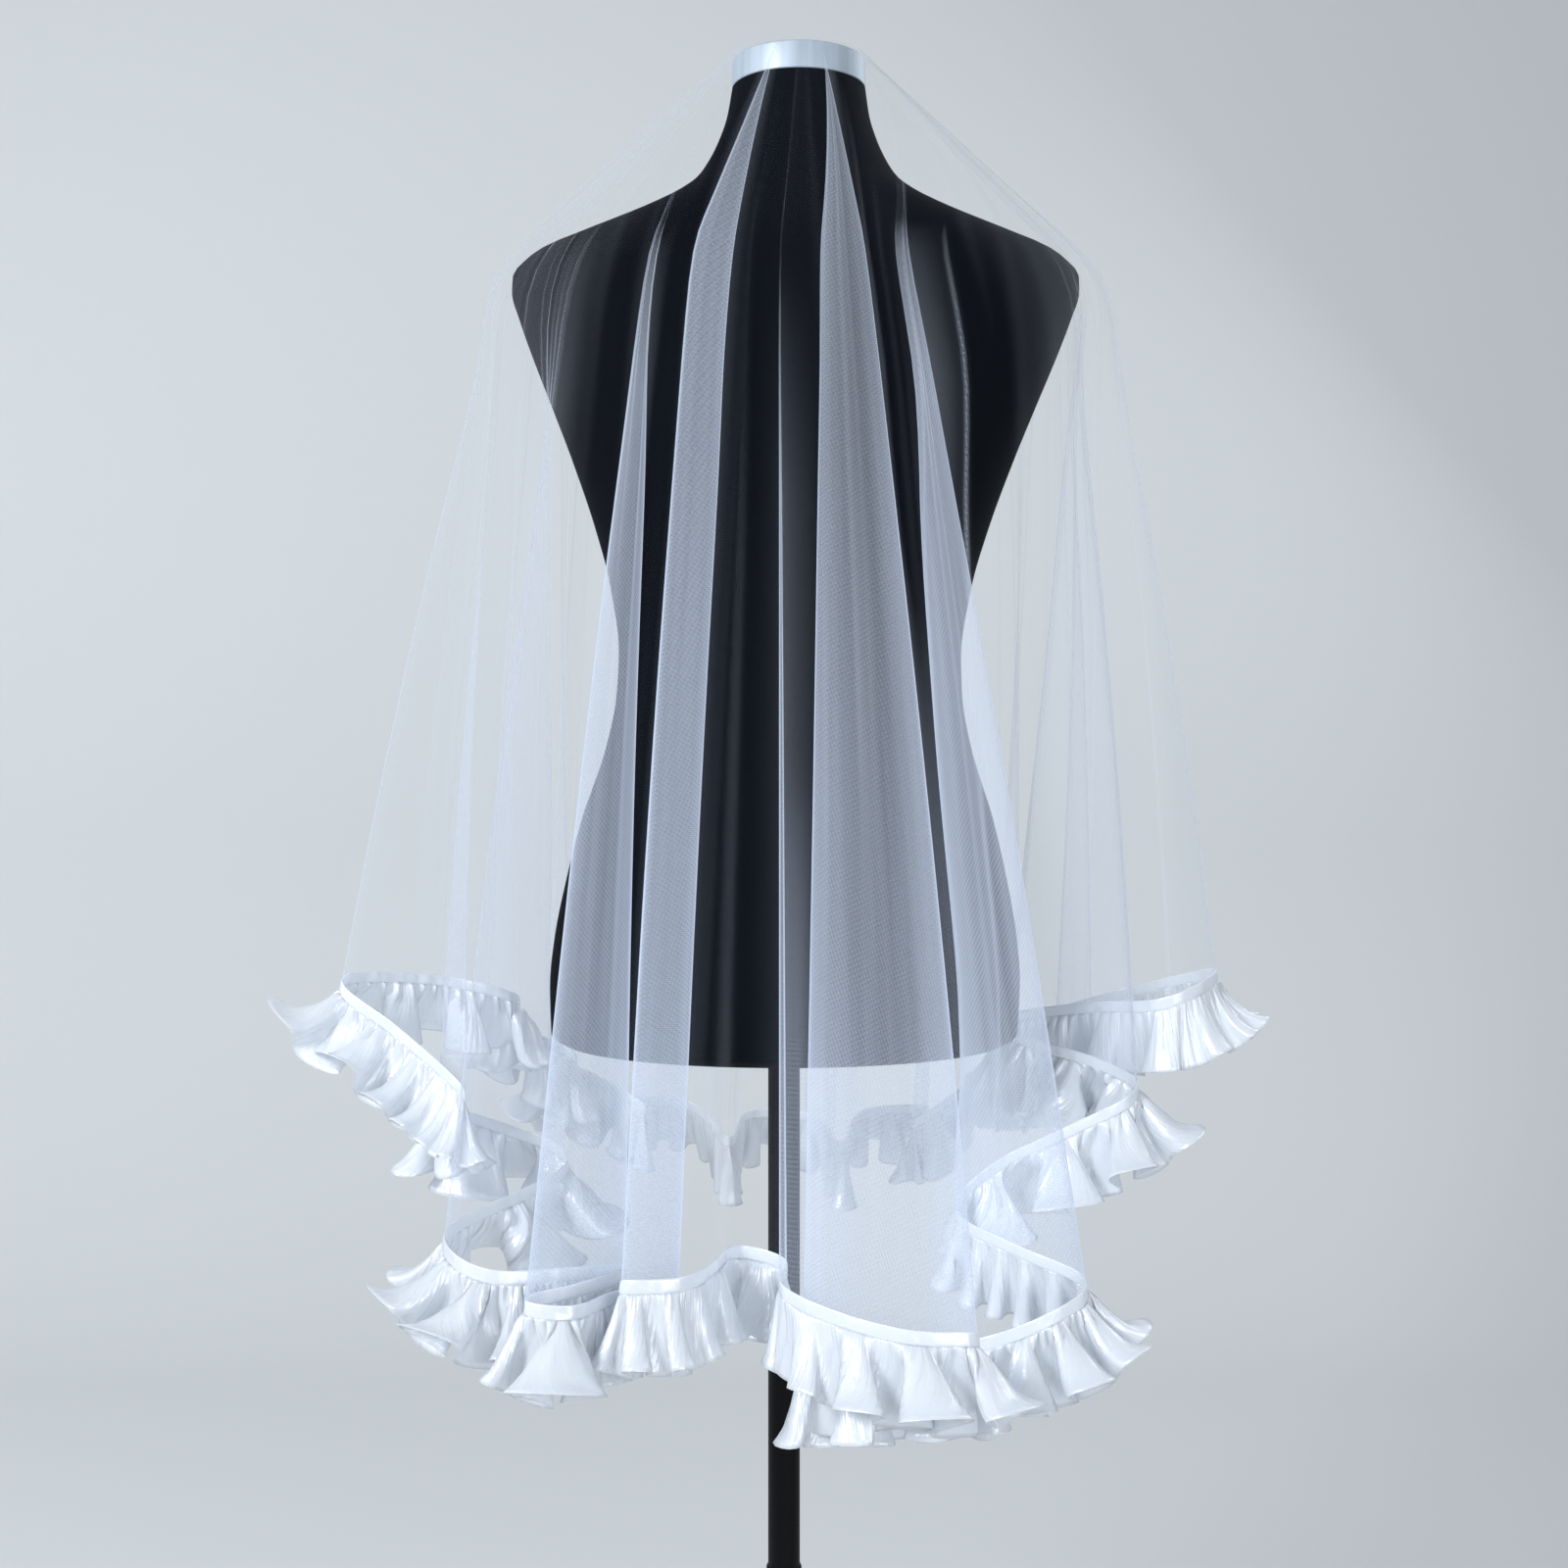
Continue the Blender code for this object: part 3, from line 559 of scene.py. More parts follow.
finish_with(tulle, node(tulle, "MixShader", None, seen_through, thread, node(tulle, "BsdfTransparent")))
print("tulle has", len(tulle.node_tree.nodes), "nodes")

# %% [markdown]
# Satin is woven so that most of each long thread lies free on the face. It reflects light in soft bands
# across the folds, and a white one lets some light through, so that the far side of a wave glows. Its small
# dents could be modelled too, but a bump pattern draws them with far fewer points. The binding has no map
# of its cloth, so the creases of the gathers stay on the ruffle.

# %% Satin
SATIN_GRAINS = 9 / (10 * MM)  # nine in 10 mm; the real threads are 0.1 mm apart and wouldn't show
CRUMPLES = 7 / (100 * MM)  # soft dents from handling
GATHER_CREASES = 1 / (5 * MM)  # one for each 5 mm along the strip, from its gathers
GATHER_CHANGES = 9 / (500 * MM)  # and how often they change down the strip
GRAIN_SHARE = 0.12  # the height of the grain and of the creases, against that of the dents
GATHER_SHARE = 1.6
SATIN_GLOW = 0.36  # the share of the light that goes through the cloth

satin = new_material("satin")
at = node(satin, "TexCoord", give="Object")
grain = node(satin, "TexNoise", give="Fac", Vector=at, Scale=SATIN_GRAINS, Detail=3.0)
crumple = node(satin, "TexNoise", give="Fac", Vector=at, Scale=CRUMPLES, Detail=3.0)
height = node(satin, "Math", "ADD", node(satin, "Math", "MULTIPLY", grain, GRAIN_SHARE), crumple)
strip_at = node(satin, "UVMap", {"uv_map": "cloth"})
strip_at = node(satin, "VectorMath", "MULTIPLY", strip_at, (GATHER_CREASES, GATHER_CHANGES, 1.0))
gathers = node(satin, "TexNoise", give="Fac", Vector=strip_at, Scale=1.0, Detail=2.0)
height = node(satin, "Math", "ADD", height, node(satin, "Math", "MULTIPLY", gathers, GATHER_SHARE))
bump = node(satin, "Bump", Strength=0.55, Distance=1.5 * MM, Height=height)
face = node(
    satin,
    "BsdfPrincipled",
    Base_Color=linear("#f4f7fb"),
    Metallic=0.12,
    Roughness=0.27,
    Specular_IOR_Level=1.0,
    Sheen_Weight=0.15,
    Sheen_Roughness=0.4,
    Normal=bump,
)
glow = node(satin, "BsdfTranslucent", Color=linear("#f5f8fc"), Normal=bump)
finish_with(satin, node(satin, "MixShader", None, SATIN_GLOW, face, glow))
print("satin has", len(satin.node_tree.nodes), "nodes")

# %% [markdown]
# The form wears a fine black knitted jersey, a dull cloth that sends back hardly any light. The cap is faced
# with silver card, whose brushed streaks run up it; the lighter and darker colour of the streaks is painted
# reflection, as a foil-like card reflects in streaks. The stand is steel under black powder paint, which
# leaves a fine orange peel, so that its highlight is broken and soft.

# %% Jersey, card and painted steel
KNIT_LOOPS = 14 / (10 * MM)  # fourteen in 10 mm
BRUSH_STROKES = 11 / (100 * MM)  # wider than the real strokes, so that they show
BRUSH_CHANGES = 1 / (250 * MM)  # so a stroke runs up the whole cap
# The streaks' colour runs from DARKEST to DARKEST + SHADE_SPREAD times the silver: painted reflection in
# streaks.
DARKEST, SHADE_SPREAD = 0.65, 0.7  # the least part of the silver's colour in a stroke, and how much is added
CARD_ROUGHNESS, PAINT_ROUGHNESS = 0.38, 0.4  # the least of each
ROUGHNESS_SPREAD = 0.2
POWDER_GRAINS = 7 / (10 * MM)  # the waves of the orange peel, seven in 10 mm

jersey = new_material("jersey")
at = node(jersey, "TexCoord", give="Object")
knit = node(jersey, "TexNoise", give="Fac", Vector=at, Scale=KNIT_LOOPS, Detail=2.0)
cloth = node(
    jersey,
    "BsdfPrincipled",
    Base_Color=linear("#03060c"),
    Roughness=0.8,
    Specular_IOR_Level=0.03,
    Sheen_Weight=0.01,
    Sheen_Roughness=0.5,
    Normal=node(jersey, "Bump", Strength=0.05, Distance=0.3 * MM, Height=knit),
)
finish_with(jersey, cloth)

silver_card = new_material("silver_card")
at = node(silver_card, "TexCoord", give="Object")
strokes = (BRUSH_STROKES, BRUSH_STROKES, BRUSH_CHANGES)
brush_and_reflection_streaks = node(silver_card, "VectorMath", "MULTIPLY", at, strokes)
brush_and_reflection_streaks = node(silver_card, "TexNoise", give="Fac", Vector=brush_and_reflection_streaks, Scale=1.0, Detail=2.0)
# Painted reflection: the brushed pattern makes the card's colour lighter and darker in streaks. Its roughness
# changes with it, as the card's own brushing.
painted_reflection_tone = node(silver_card, "Math", "MULTIPLY", brush_and_reflection_streaks, SHADE_SPREAD)
painted_reflection_tone = node(silver_card, "Math", "ADD", painted_reflection_tone, DARKEST)
silver = node(silver_card, "VectorMath", "SCALE", linear("#a8b3be")[:3], Scale=painted_reflection_tone)
rough = node(silver_card, "Math", "MULTIPLY", brush_and_reflection_streaks, ROUGHNESS_SPREAD)
rough = node(silver_card, "Math", "ADD", rough, CARD_ROUGHNESS)
card = node(silver_card, "BsdfPrincipled", Base_Color=silver, Metallic=0.25, Roughness=rough)
finish_with(silver_card, card)

black_metal = new_material("black_metal")
at = node(black_metal, "TexCoord", give="Object")
powder = node(black_metal, "TexNoise", give="Fac", Vector=at, Scale=POWDER_GRAINS, Detail=2.0)
rough = node(black_metal, "Math", "MULTIPLY", powder, ROUGHNESS_SPREAD)
rough = node(black_metal, "Math", "ADD", rough, PAINT_ROUGHNESS)
paint = node(
    black_metal,
    "BsdfPrincipled",
    Base_Color=linear("#050506"),
    Roughness=rough,
    Specular_IOR_Level=0.12,
    Normal=node(black_metal, "Bump", Strength=0.15, Distance=0.2 * MM, Height=powder),
)
finish_with(black_metal, paint)
print("materials:", [material.name for material in (tulle, satin, jersey, silver_card, black_metal)])

# %% [markdown]
# ## The form, its cap and its stand
# The skin of the form is the curve through its sections, with a ring of points every few millimetres. The
# cap, pole and base are turned: a profile of radius and height, swept round. A bevel modifier could round
# their edges as well, but the profile states how much.

# %% The form's skin
AROUND = 128  # points round the form, its cap and its base
POLE_AROUND = 64
EDGE_TOP = 870 * MM  # the rounded edge under the form is drawn with closer rings up to here
EDGE_RINGS = 8
SKIN_RINGS = 150


def ovals(middle, half_width, half_depth, height, around):
    """A grid with an oval for each height: x = middle + a cos(t), y = b sin(t), z = h."""
    turn = np.arange(around) * math.tau / around
    x = np.broadcast_to(middle, height.shape)[:, None] + half_width[:, None] * np.cos(turn)
    return np.stack([x, half_depth[:, None] * np.sin(turn), height[:, None] * np.ones(around)], axis=-1)


edge_heights = np.linspace(FORM_BOTTOM, EDGE_TOP, EDGE_RINGS)[:-1]
heights = np.concatenate([edge_heights, np.linspace(EDGE_TOP, FORM_TOP, SKIN_RINGS)])
skin = ovals(form_centre(heights), *form_section(heights), heights, AROUND)
form = add_surface("form_skin", skin, jersey, caps=[0, len(heights) - 1])

# %% Turned parts
BASE_RADIUS = 150 * MM
BASE_THICKNESS = 9 * MM
BASE_MIDDLE = 20 * MM  # within this radius the flat top of the base is one face
POLE_RADIUS = 11 * MM
SLEEVE_RADIUS = 12.2 * MM  # the wider lower tube, into which the pole goes
SLEEVE_TOP = 493 * MM
# The points of each rounded or bevelled edge, in mm outwards and upwards from its sharp corner
CAP_LOWER_EDGE = [(-0.6, 0), (0, 0.6)]
CAP_UPPER_EDGE = [(0, -1.5), (-0.2, -0.9), (-0.7, -0.3), (-1.5, 0)]
BASE_LOWER_EDGE = [(-2, 0), (0, 0.8)]
BASE_UPPER_EDGE = [(0, -3), (-0.9, -1.2), (-3, 0)]
SLEEVE_EDGE = [(0, -1), (-0.3, -0.3), (-0.9, 0)]


def corner(radius, height, edge=((0, 0),)):
    """The points of a profile's corner: its edge is given in mm outwards and upwards from the sharp one."""
    return [(radius + out * MM, height + up * MM) for out, up in edge]


def turned(name, profile, material, around=AROUND, centre=0.0):
    """A solid of revolution from a profile of radius and height, closed at both ends by flat faces."""
    radius, height = np.array(profile).T
    grid = ovals(centre, radius, radius, height, around)
    return add_surface(name, grid, material, caps=[0, len(profile) - 1])


cap_bottom = FORM_TOP + SEAM
cap_profile = corner(CAP_RADIUS, cap_bottom, CAP_LOWER_EDGE)
cap_profile += corner(CAP_RADIUS, cap_bottom + CAP_HEIGHT, CAP_UPPER_EDGE)
cap = turned("cap", cap_profile, silver_card, centre=form_centre(FORM_TOP))
base_profile = corner(BASE_RADIUS, 0, BASE_LOWER_EDGE) + corner(BASE_RADIUS, BASE_THICKNESS, BASE_UPPER_EDGE)
base = turned("base", base_profile + corner(BASE_MIDDLE, BASE_THICKNESS), black_metal)
pole_profile = corner(SLEEVE_RADIUS, BASE_THICKNESS + SEAM) + corner(SLEEVE_RADIUS, SLEEVE_TOP, SLEEVE_EDGE)
pole_profile += corner(POLE_RADIUS, SLEEVE_TOP) + corner(POLE_RADIUS, FORM_BOTTOM - SEAM)
pole = turned("pole", pole_profile, black_metal, around=POLE_AROUND)
# Edges that turn more than so many degrees stay crisp, and the rest is shaded round.
for piece, crisp_angle in ((form, 50), (cap, 30), (base, 30), (pole, 30)):
    piece.data.set_sharp_from_angle(angle=math.radians(crisp_angle))

# %% [markdown]
# ## The tulle
# The net is one surface from the crown on the cap to the hem: rings of points at levels from -1 at the cap
# to 0 over the shoulders and on to 1 at the hem. Each column of points is one line of the cloth from its
# middle to its edge, so the folds open as they fall.

# %% The rings of the net
CROWN = np.array([0.04, 0.3, 0.55, 0.78, 0.94, 1.0])  # shares of the way from the middle to the cap's rim
UPPER = np.linspace(0, 1, 17)[1:]  # levels of the slope, from the rim to the ring over the shoulders
LOWER = np.linspace(0, 1, 27)[1:]  # levels from there to the hem
SOFTENINGS = 2  # how often the bend over the shoulders is averaged


def bell(distance, width):
    """exp(-(d / w)^2), a soft ridge."""
    return np.exp(-((distance / width) ** 2))


def tulle_rings():
    """The rings of the cloth from the crown to the hem, with the level of each: below 0 down to the
    shoulders and above 0 below them."""
    rim = upper_ring(CURVE, 0.0)
    centre = np.array([form_centre(FORM_TOP), 0, rim[0, 2]])
    rings = [centre + (rim - centre) * share for share in CROWN]
    rings += [upper_ring(CURVE, level) for level in UPPER] + [lower_ring(CURVE, level) for level in LOWER]
    levels = np.concatenate([np.full(len(CROWN), -1.0), UPPER - 1, LOWER])
    return np.array(rings), levels


def softened(rings, where, times):
    """The rings near one of them averaged with the rings above and below, which rounds a sharp bend."""
    near = slice(where - 2, where + 3)
    for _ in range(times):
        rings[near] = (rings[where - 3 : where + 2] + 2 * rings[near] + rings[where - 1 : where + 4]) / 4
    return rings


rings, levels = tulle_rings()
rings = softened(rings, len(CROWN) + len(UPPER) - 1, SOFTENINGS)
around_ring = np.roll(rings, -1, axis=1) - np.roll(rings, 1, axis=1)
outward = unit(np.cross(np.gradient(rings, axis=0), around_ring))
print("the net has", len(rings), "rings of", len(CURVE), "points")

# %% [markdown]
# Net keeps soft creases from being handled, which run down the faces of its folds and fan out over the
# shoulders. They could be sculpted by brush. A table of them can be read and changed, and it is used twice:
# each one lifts the cloth along its line and changes a little how much it covers there.

# %% Creases of the net
CREASES = [
    # near the fold, along the hem mm, slant mm, from, to, height mm, width mm, cover. From and to are
    # levels, below 0 over the shoulders and above 0 under them; the slant is over one whole level.
    ("left_face", -20, 10, -0.8, 0.5, 1.6, 9, 0.012),
    ("left_face", 24, -14, -0.6, 0.9, 2.2, 12, 0.016),
    ("left_return", 0, 8, 0.0, 1.0, 1.4, 8, 0.02),
    ("left_return", 45, 0, -0.5, 0.9, -1.6, 9, 0.02),
    ("left_inner", 50, -20, -0.7, 0.85, 1.8, 11, 0.018),
    ("left_inner", 105, 12, 0.0, 1.0, -1.5, 10, 0.014),
    ("front_left_face", 6, 18, -0.9, 0.7, 1.4, 10, 0.012),
    ("front_left_face", 46, -10, -0.4, 1.0, -1.8, 13, 0.01),
    ("tuck_c_nose", 0, 0, -1.0, 0.2, 0.5, 3, 0.07),
    ("front_left_nose", 10, 0, -1.0, 0.9, 0.8, 5, 0.03),
    ("tuck_c_middle", 10, 0, -0.9, 1.0, 1.2, 5, 0.03),
    ("tuck_c_middle", -14, 0, -0.7, 1.0, -1.2, 5, -0.03),
    ("tuck_c_face", 18, 10, -0.5, 0.8, 1.2, 9, 0.012),
    ("tuck_a_inner", 12, 0, -0.9, 1.0, 1.1, 5, 0.04),
    ("tuck_a_inner", 34, 0, -0.9, 1.0, -1.1, 5, -0.03),
    ("tuck_a_nose", -8, 0, -0.8, 1.0, 1.0, 4, 0.03),
    ("tuck_a_face", 12, -8, -0.3, 0.9, 1.0, 7, 0.012),
    ("broad_face_left", -14, 0, 0.55, 1.9, 0, 22, 0.12),
    ("broad_face_left", 22, 14, -0.9, 0.55, 1.4, 12, 0.008),
    ("broad_face", -14, -24, -0.6, 0.8, -1.8, 16, 0.006),
    ("broad_face", 22, 12, -0.2, 1.0, 1.6, 12, 0.01),
    ("tuck_b_middle", 12, 0, -0.9, 1.0, 1.0, 5, 0.03),
    ("tuck_b_middle", -12, 0, -0.7, 1.0, -1.0, 5, -0.03),
    ("tuck_b_inner", -16, 0, -0.8, 1.0, 1.0, 4, 0.03),
    ("tuck_b_back", 28, 16, -0.8, 0.9, 1.4, 12, 0.012),
    ("front_right_back", 10, -12, -0.3, 0.8, -1.4, 10, 0.01),
    ("front_right_nose", 0, 0, -1.0, 0.2, 0.5, 3, 0.08),
    ("tuck_d_middle", 8, 0, -0.9, 1.0, 1.0, 5, 0.03),
    ("tuck_d_middle", -16, 0, -0.8, 1.0, -1.0, 5, -0.03),
    ("right_face_inner", 24, 22, -0.9, 0.6, 1.5, 11, 0.014),
    ("right_face", 0, -18, -0.7, 0.9, 1.8, 12, 0.014),
    ("right_face", 34, 10, -0.2, 1.0, -1.8, 12, 0.012),
    ("right_side", 16, 0, 0.0, 1.0, 1.4, 8, 0.02),
    ("right_tip_back", 10, 14, -0.7, 0.7, 1.4, 10, 0.014),
    ("right_tip_face", 22, -12, -0.5, 0.9, 2.0, 12, 0.014),
    ("back_right_side", 14, 10, -0.8, 0.8, 1.6, 12, 0.01),
    ("back_right_nose_back", 50, 0, -0.3, 1.0, -1.6, 11, 0.01),
    ("back_right_inner_3", 60, 16, -0.7, 0.7, 1.8, 14, 0.008),
    ("back_face_right", 0, -12, -0.9, 0.9, 1.4, 12, 0.008),
    ("back_inner_right", 60, 0, -0.2, 1.0, -1.6, 12, 0.01),
    ("back_face", 10, 14, -0.9, 0.6, 1.6, 13, 0.008),
    ("back_face_left", -12, -10, -0.6, 0.9, 1.4, 12, 0.008),
    ("back_left_inner_2", 55, 12, -0.4, 1.0, -1.8, 13, 0.01),
    ("back_left_inner", 50, 0, -0.8, 0.8, 1.6, 12, 0.01),
    ("back_left_side", 30, -14, -0.5, 0.9, 1.8, 13, 0.01),
]
print("the table has", len(CREASES), "creases")

# %% Creases laid on the rings
FLAT_LEVEL = -1.15  # creases rise from nothing here to their full height one level further down
CREASE_ENDS = 1.15  # above 1, a crease stays whole along most of its length and fades at both ends
CREASE_LINE = 0.6  # the width of a crease's denser line against that of its ridge

fold_names = [row[0] for row in FLUTES]
fold_points = np.array([[row[1], -row[2], row[3]] for row in FLUTES], float) * MM
fold_column = np.linalg.norm(CURVE[None, :, :3] - fold_points[:, None], axis=2).argmin(axis=1)


def way_from(place):
    """The way along the hem from a place on it to each column, whichever way round is shorter."""
    hem_length = len(CURVE) * FINE_STEP
    way = np.arange(len(CURVE)) * FINE_STEP - place
    return (way + hem_length / 2) % hem_length - hem_length / 2


offset = np.zeros(rings.shape[:2])
crease_cover = np.zeros(rings.shape[:2])
for near, shift, slanting, top, bottom, high, wide, extra in CREASES:
    place = fold_column[fold_names.index(near)] * FINE_STEP + shift * MM
    distance = way_from(place + slanting * MM * levels[:, None])
    middle, reach = (top + bottom) / 2, (bottom - top) / 2
    strength = np.clip(CREASE_ENDS - ((levels - middle) / reach) ** 4, 0, 1)[:, None]
    ridge = bell(distance, wide * MM) * strength
    offset += high * MM * ridge * np.clip(levels - FLAT_LEVEL, 0, 1)[:, None]
    crease_cover += extra * bell(distance, CREASE_LINE * wide * MM) * strength
offset[-1] = 0  # the hem stays on its line, where the binding holds it
print("the creases lift the net up to", round(np.abs(offset).max() / MM, 1), "mm")

# %% [markdown]
# How much the net covers is worked out point by point: a single layer, the creases, the stacks of small
# pleats that the fold table states, and a thin bright line down each fold, where the doubled net is seen
# edge on. The small pleats could be modelled too, but there are hundreds, each a few millimetres deep.

# %% How much the net covers
ONE_LAYER = 0.004  # the share of the view that a single layer of the net covers in front
SIDE_LAYER = 0.03  # and at the sides and behind, where it hangs in small soft pleats
SIDE_FROM = [30, 60]  # degrees from the front between which the one turns to the other
SLOPE_SHARE = 1.8  # times as much where the pleats draw together over the shoulders
SLOPE_LEVELS = [-0.2, 0.1]  # and the levels between which that ends
STACK_FADE = 0.25  # the levels that a stack takes to come in
STACK_SHARE = 0.78  # how much of its cover a stack has over the shoulders
STACK_GROWTH = 0.42  # and how much it gains from there to the hem
EDGE_WIDTH = 1.8 * MM
EDGE_COVER = [0.34, 0.12]  # of the bright line down a fold, in front and at the sides
EDGE_FROM = [25, 50]  # and the degrees from the front between which it changes
EDGE_SHARE = 0.9  # of that line over the shoulders
EDGE_GROWTH = 0.3  # and its gain from there to the hem
EDGE_MOST = 1.1
MOST_COVER = 0.6

from_front = np.degrees(np.abs((CURVE[:, 3] + math.pi) % math.tau - math.pi))
layer_cover = np.interp(from_front, SIDE_FROM, [ONE_LAYER, SIDE_LAYER])
layer_cover = layer_cover * np.interp(levels, SLOPE_LEVELS, [SLOPE_SHARE, 1.0])[:, None]
opened = np.clip((levels[:, None] - CURVE[:, 8]) / STACK_FADE, 0, 1)
stack_cover = CURVE[:, 7] * opened * (STACK_SHARE + STACK_GROWTH * levels)[:, None]
turned_rows = [i for i, name in enumerate(fold_names) if "nose" in name or "inner" in name or "tip" in name]
way_to_fold = way_from(fold_column[turned_rows][:, None] * FINE_STEP)
fold_line = bell(way_to_fold, EDGE_WIDTH).max(axis=0) * np.interp(from_front, EDGE_FROM, EDGE_COVER)
line_share = np.minimum(EDGE_SHARE + EDGE_GROWTH * levels, EDGE_MOST)[:, None]
cover_net = layer_cover + stack_cover + crease_cover + fold_line * opened * line_share
print("the net covers from", round(cover_net.min(), 3), "to", round(cover_net.max(), 2), "before limits")

# %% [markdown]
# The pattern of the net has to lie on the cloth as it was cut. So the map of the surface is the oval laid
# flat: each column is a straight line from the middle, in the direction of its rim angle, and each point of
# it lies as far out as the cloth is long down to there.

# %% The net
FIRST_RING = 2 * MM  # the radius of the innermost ring

rings = rings + outward * offset[..., None]
net_piece = add_surface("tulle_oval", rings, tulle, flip=True, caps=[0])
add_values(net_piece, "cover", np.clip(cover_net, ONE_LAYER, MOST_COVER))
steps = np.linalg.norm(np.diff(rings, axis=0, prepend=rings[:1]), axis=2)
length_down = np.cumsum(steps, axis=0) + FIRST_RING
rim_angle = CURVE[:, 5]
flat_oval = np.stack([length_down * np.sin(rim_angle), -length_down * np.cos(rim_angle)], axis=-1)
flat_oval = flat_oval.reshape(-1, 2)
corners = np.empty(len(net_piece.data.loops), np.int64)
net_piece.data.loops.foreach_get("vertex_index", corners)
layer = net_piece.data.uv_layers.new(name="cloth")
layer.data.foreach_set("uv", flat_oval[corners].astype(np.float32).ravel())
net_piece.visible_shadow = False  # a net this open throws next to no shade
print("tulle:", len(net_piece.data.polygons), "faces; the oval is", np.ptp(flat_oval, axis=0).round(2), "m")

# %% [markdown]
# ## The binding and the ruffle
# A narrow strip of satin is folded over the cut edge of the net and stitched, which leaves small puckers.
# Below it hangs a satin ruffle: a strip about twice as long as the hem, drawn up on a gathering thread.
# Its free edge has nowhere to go but sideways, so it swings out and in, and overhangs where it turns. The
# waves differ from one to the next, as a hand spreads the gathers unevenly.

# %% Binding
random = np.random.default_rng(7)  # always the same start, so that the veil comes out the same


def uneven(count, reach, share):
    """Random numbers round a closed line of count points, smoothed over a reach of points: they spread
    about 0 by the share."""
    values = random.normal(size=count)
    waves = np.fft.rfft(values) * np.exp(-((np.arange(count // 2 + 1) * reach / count) ** 2))
    values = np.fft.irfft(waves, count)
    return share * values / values.std()


BAND_SECTION = [
    # down mm, out mm, share of the pucker: round the folded strip, from its upper edge over the outer face
    (0.0, 0.0, 0.0),
    (0.2, 0.35, 0.1),
    (0.9, 0.5, 0.4),
    (2.6, 0.52, 0.8),
    (4.6, 0.52, 1.0),
    (6.4, 0.5, 1.0),
    (7.6, 0.4, 0.7),
    (8.0, 0.15, 0.4),
    (8.0, -0.15, 0.4),
    (7.6, -0.4, 0.7),
    (6.4, -0.5, 1.0),
    (4.6, -0.52, 1.0),
    (2.6, -0.52, 0.8),
    (0.9, -0.5, 0.4),
    (0.2, -0.35, 0.1),
    (0.0, 0.0, 0.0),
]
BAND_LAP = 0.6 * MM  # how far the strip's upper edge lies above the hem line
PUCKER_REACH = 6 * MM
PUCKER = 0.35 * MM

columns = len(CURVE)
pucker = uneven(columns, PUCKER_REACH / FINE_STEP, PUCKER)[:, None]
section = np.array(BAND_SECTION)[:, None, :]
fall, stand_out, loose = section[..., :1] * MM, section[..., 1:2] * MM, section[..., 2:]
band_grid = HEM + DOWN * (fall - BAND_LAP) + OUT * (stand_out + pucker * loose)
band = add_surface("binding", band_grid, satin)

# %% [markdown]
# A wave needs room to swing, and has little where layers of the hem hang close together. So the free way to
# the next layer is measured first. Then the strip is shared out along the hem.

# %% Room for the ruffle
RUFFLE_TOP = 7.2 * MM  # below the hem line
RUFFLE_DEPTH = 44 * MM
RUFFLE_STEP = 1.45 * MM  # from one column of the ruffle to the next
SWING = 13.0 * MM  # of a wave to either side, where there is room
LEAST_SWING = 1.2 * MM
ROOM_SHARE = 0.55  # of the way to the next layer that a wave may take
ROOM_GAP = 0.5 * MM
ROOM_SMOOTHING = 9 * MM
DETOUR = 1.5  # the strip between two layers is at least so many times as long as the straight way
FLARE = 0.8  # the share of each fold's flare that its ruffle keeps once its waves stand out from it
EVEN_LEAN, LATE_LEAN = 0.35, 0.65  # the parts of the lean that grow with the level and with its square
HEADER_SHARE, EDGE_LENGTH_SHARE = 0.55, 0.45


def swing_room(line):
    """How far the ruffle can swing at each point: about half of the way to the next layer that is not
    reached along the strip itself."""
    passed = np.concatenate([[0], np.cumsum(step_lengths(line))])
    along = np.abs(passed[:-1, None] - passed[None, :-1])
    along = np.minimum(along, passed[-1] - along)
    apart = np.linalg.norm(line[:, None] - line[None], axis=2)
    apart[along <= DETOUR * apart] = np.inf
    return np.clip(ROOM_SHARE * apart.min(axis=1) - ROOM_GAP, LEAST_SWING, SWING)


def leaning(flare, level):
    """How far out and down the strip lies at a level v of its depth. It leans to the outer side of the cloth
    by flare (0.35 v + 0.65 v^2), so the lean grows from the header, and down = sqrt((depth v)^2 - out^2)
    keeps the depth the same."""
    out = flare * (EVEN_LEAN * level + LATE_LEAN * level**2)
    return out, np.sqrt(np.maximum((RUFFLE_DEPTH * level) ** 2 - out**2, 0))


edge_out, edge_down = leaning(FLARE * CURVE[:, 6], 1.0)
coarse_edge = HEM + DOWN * edge_down[:, None] + OUT * edge_out[:, None]
room = smoothed(swing_room(coarse_edge), ROOM_SMOOTHING)
# The strip is shared out by the length of its free edge as well as of its header, so a corner of the veil,
# where the edge fans out, has as many waves as its spread needs.
cost = HEADER_SHARE * FINE_STEP + EDGE_LENGTH_SHARE * step_lengths(coarse_edge)
passed = np.concatenate([[0], np.cumsum(cost)])
count = round(passed[-1] / RUFFLE_STEP)
share = np.interp(np.arange(count) * passed[-1] / count, passed, np.arange(columns + 1))
print("the ruffle has", count, "columns, with room from", round(room.min() / MM, 1), "mm to each side")

# %% [markdown]
# No two waves are alike. Smooth random numbers round the hem make some wide and some narrow, some high and
# some flat, and tilt them. The gathers at the header and the creases below them run on the same phase.

# %% Uneven waves
WAVES = 138
OVERHANG = 9.5 * MM  # how far a crest leans over its foot
GATHER_TURNS = 2.5  # times as fast as the waves, which makes five grooves to a wave
CREASE_TURNS = 1.7  # and so a little over three creases


def finer(values):
    """The rows of a closed line read at the ruffle's own columns."""
    closed = np.concatenate([values, values[:1]])
    low = np.floor(share).astype(int)
    part = (share - low).reshape(-1, *[1] * (values.ndim - 1))
    return closed[low] * (1 - part) + closed[low + 1] * part


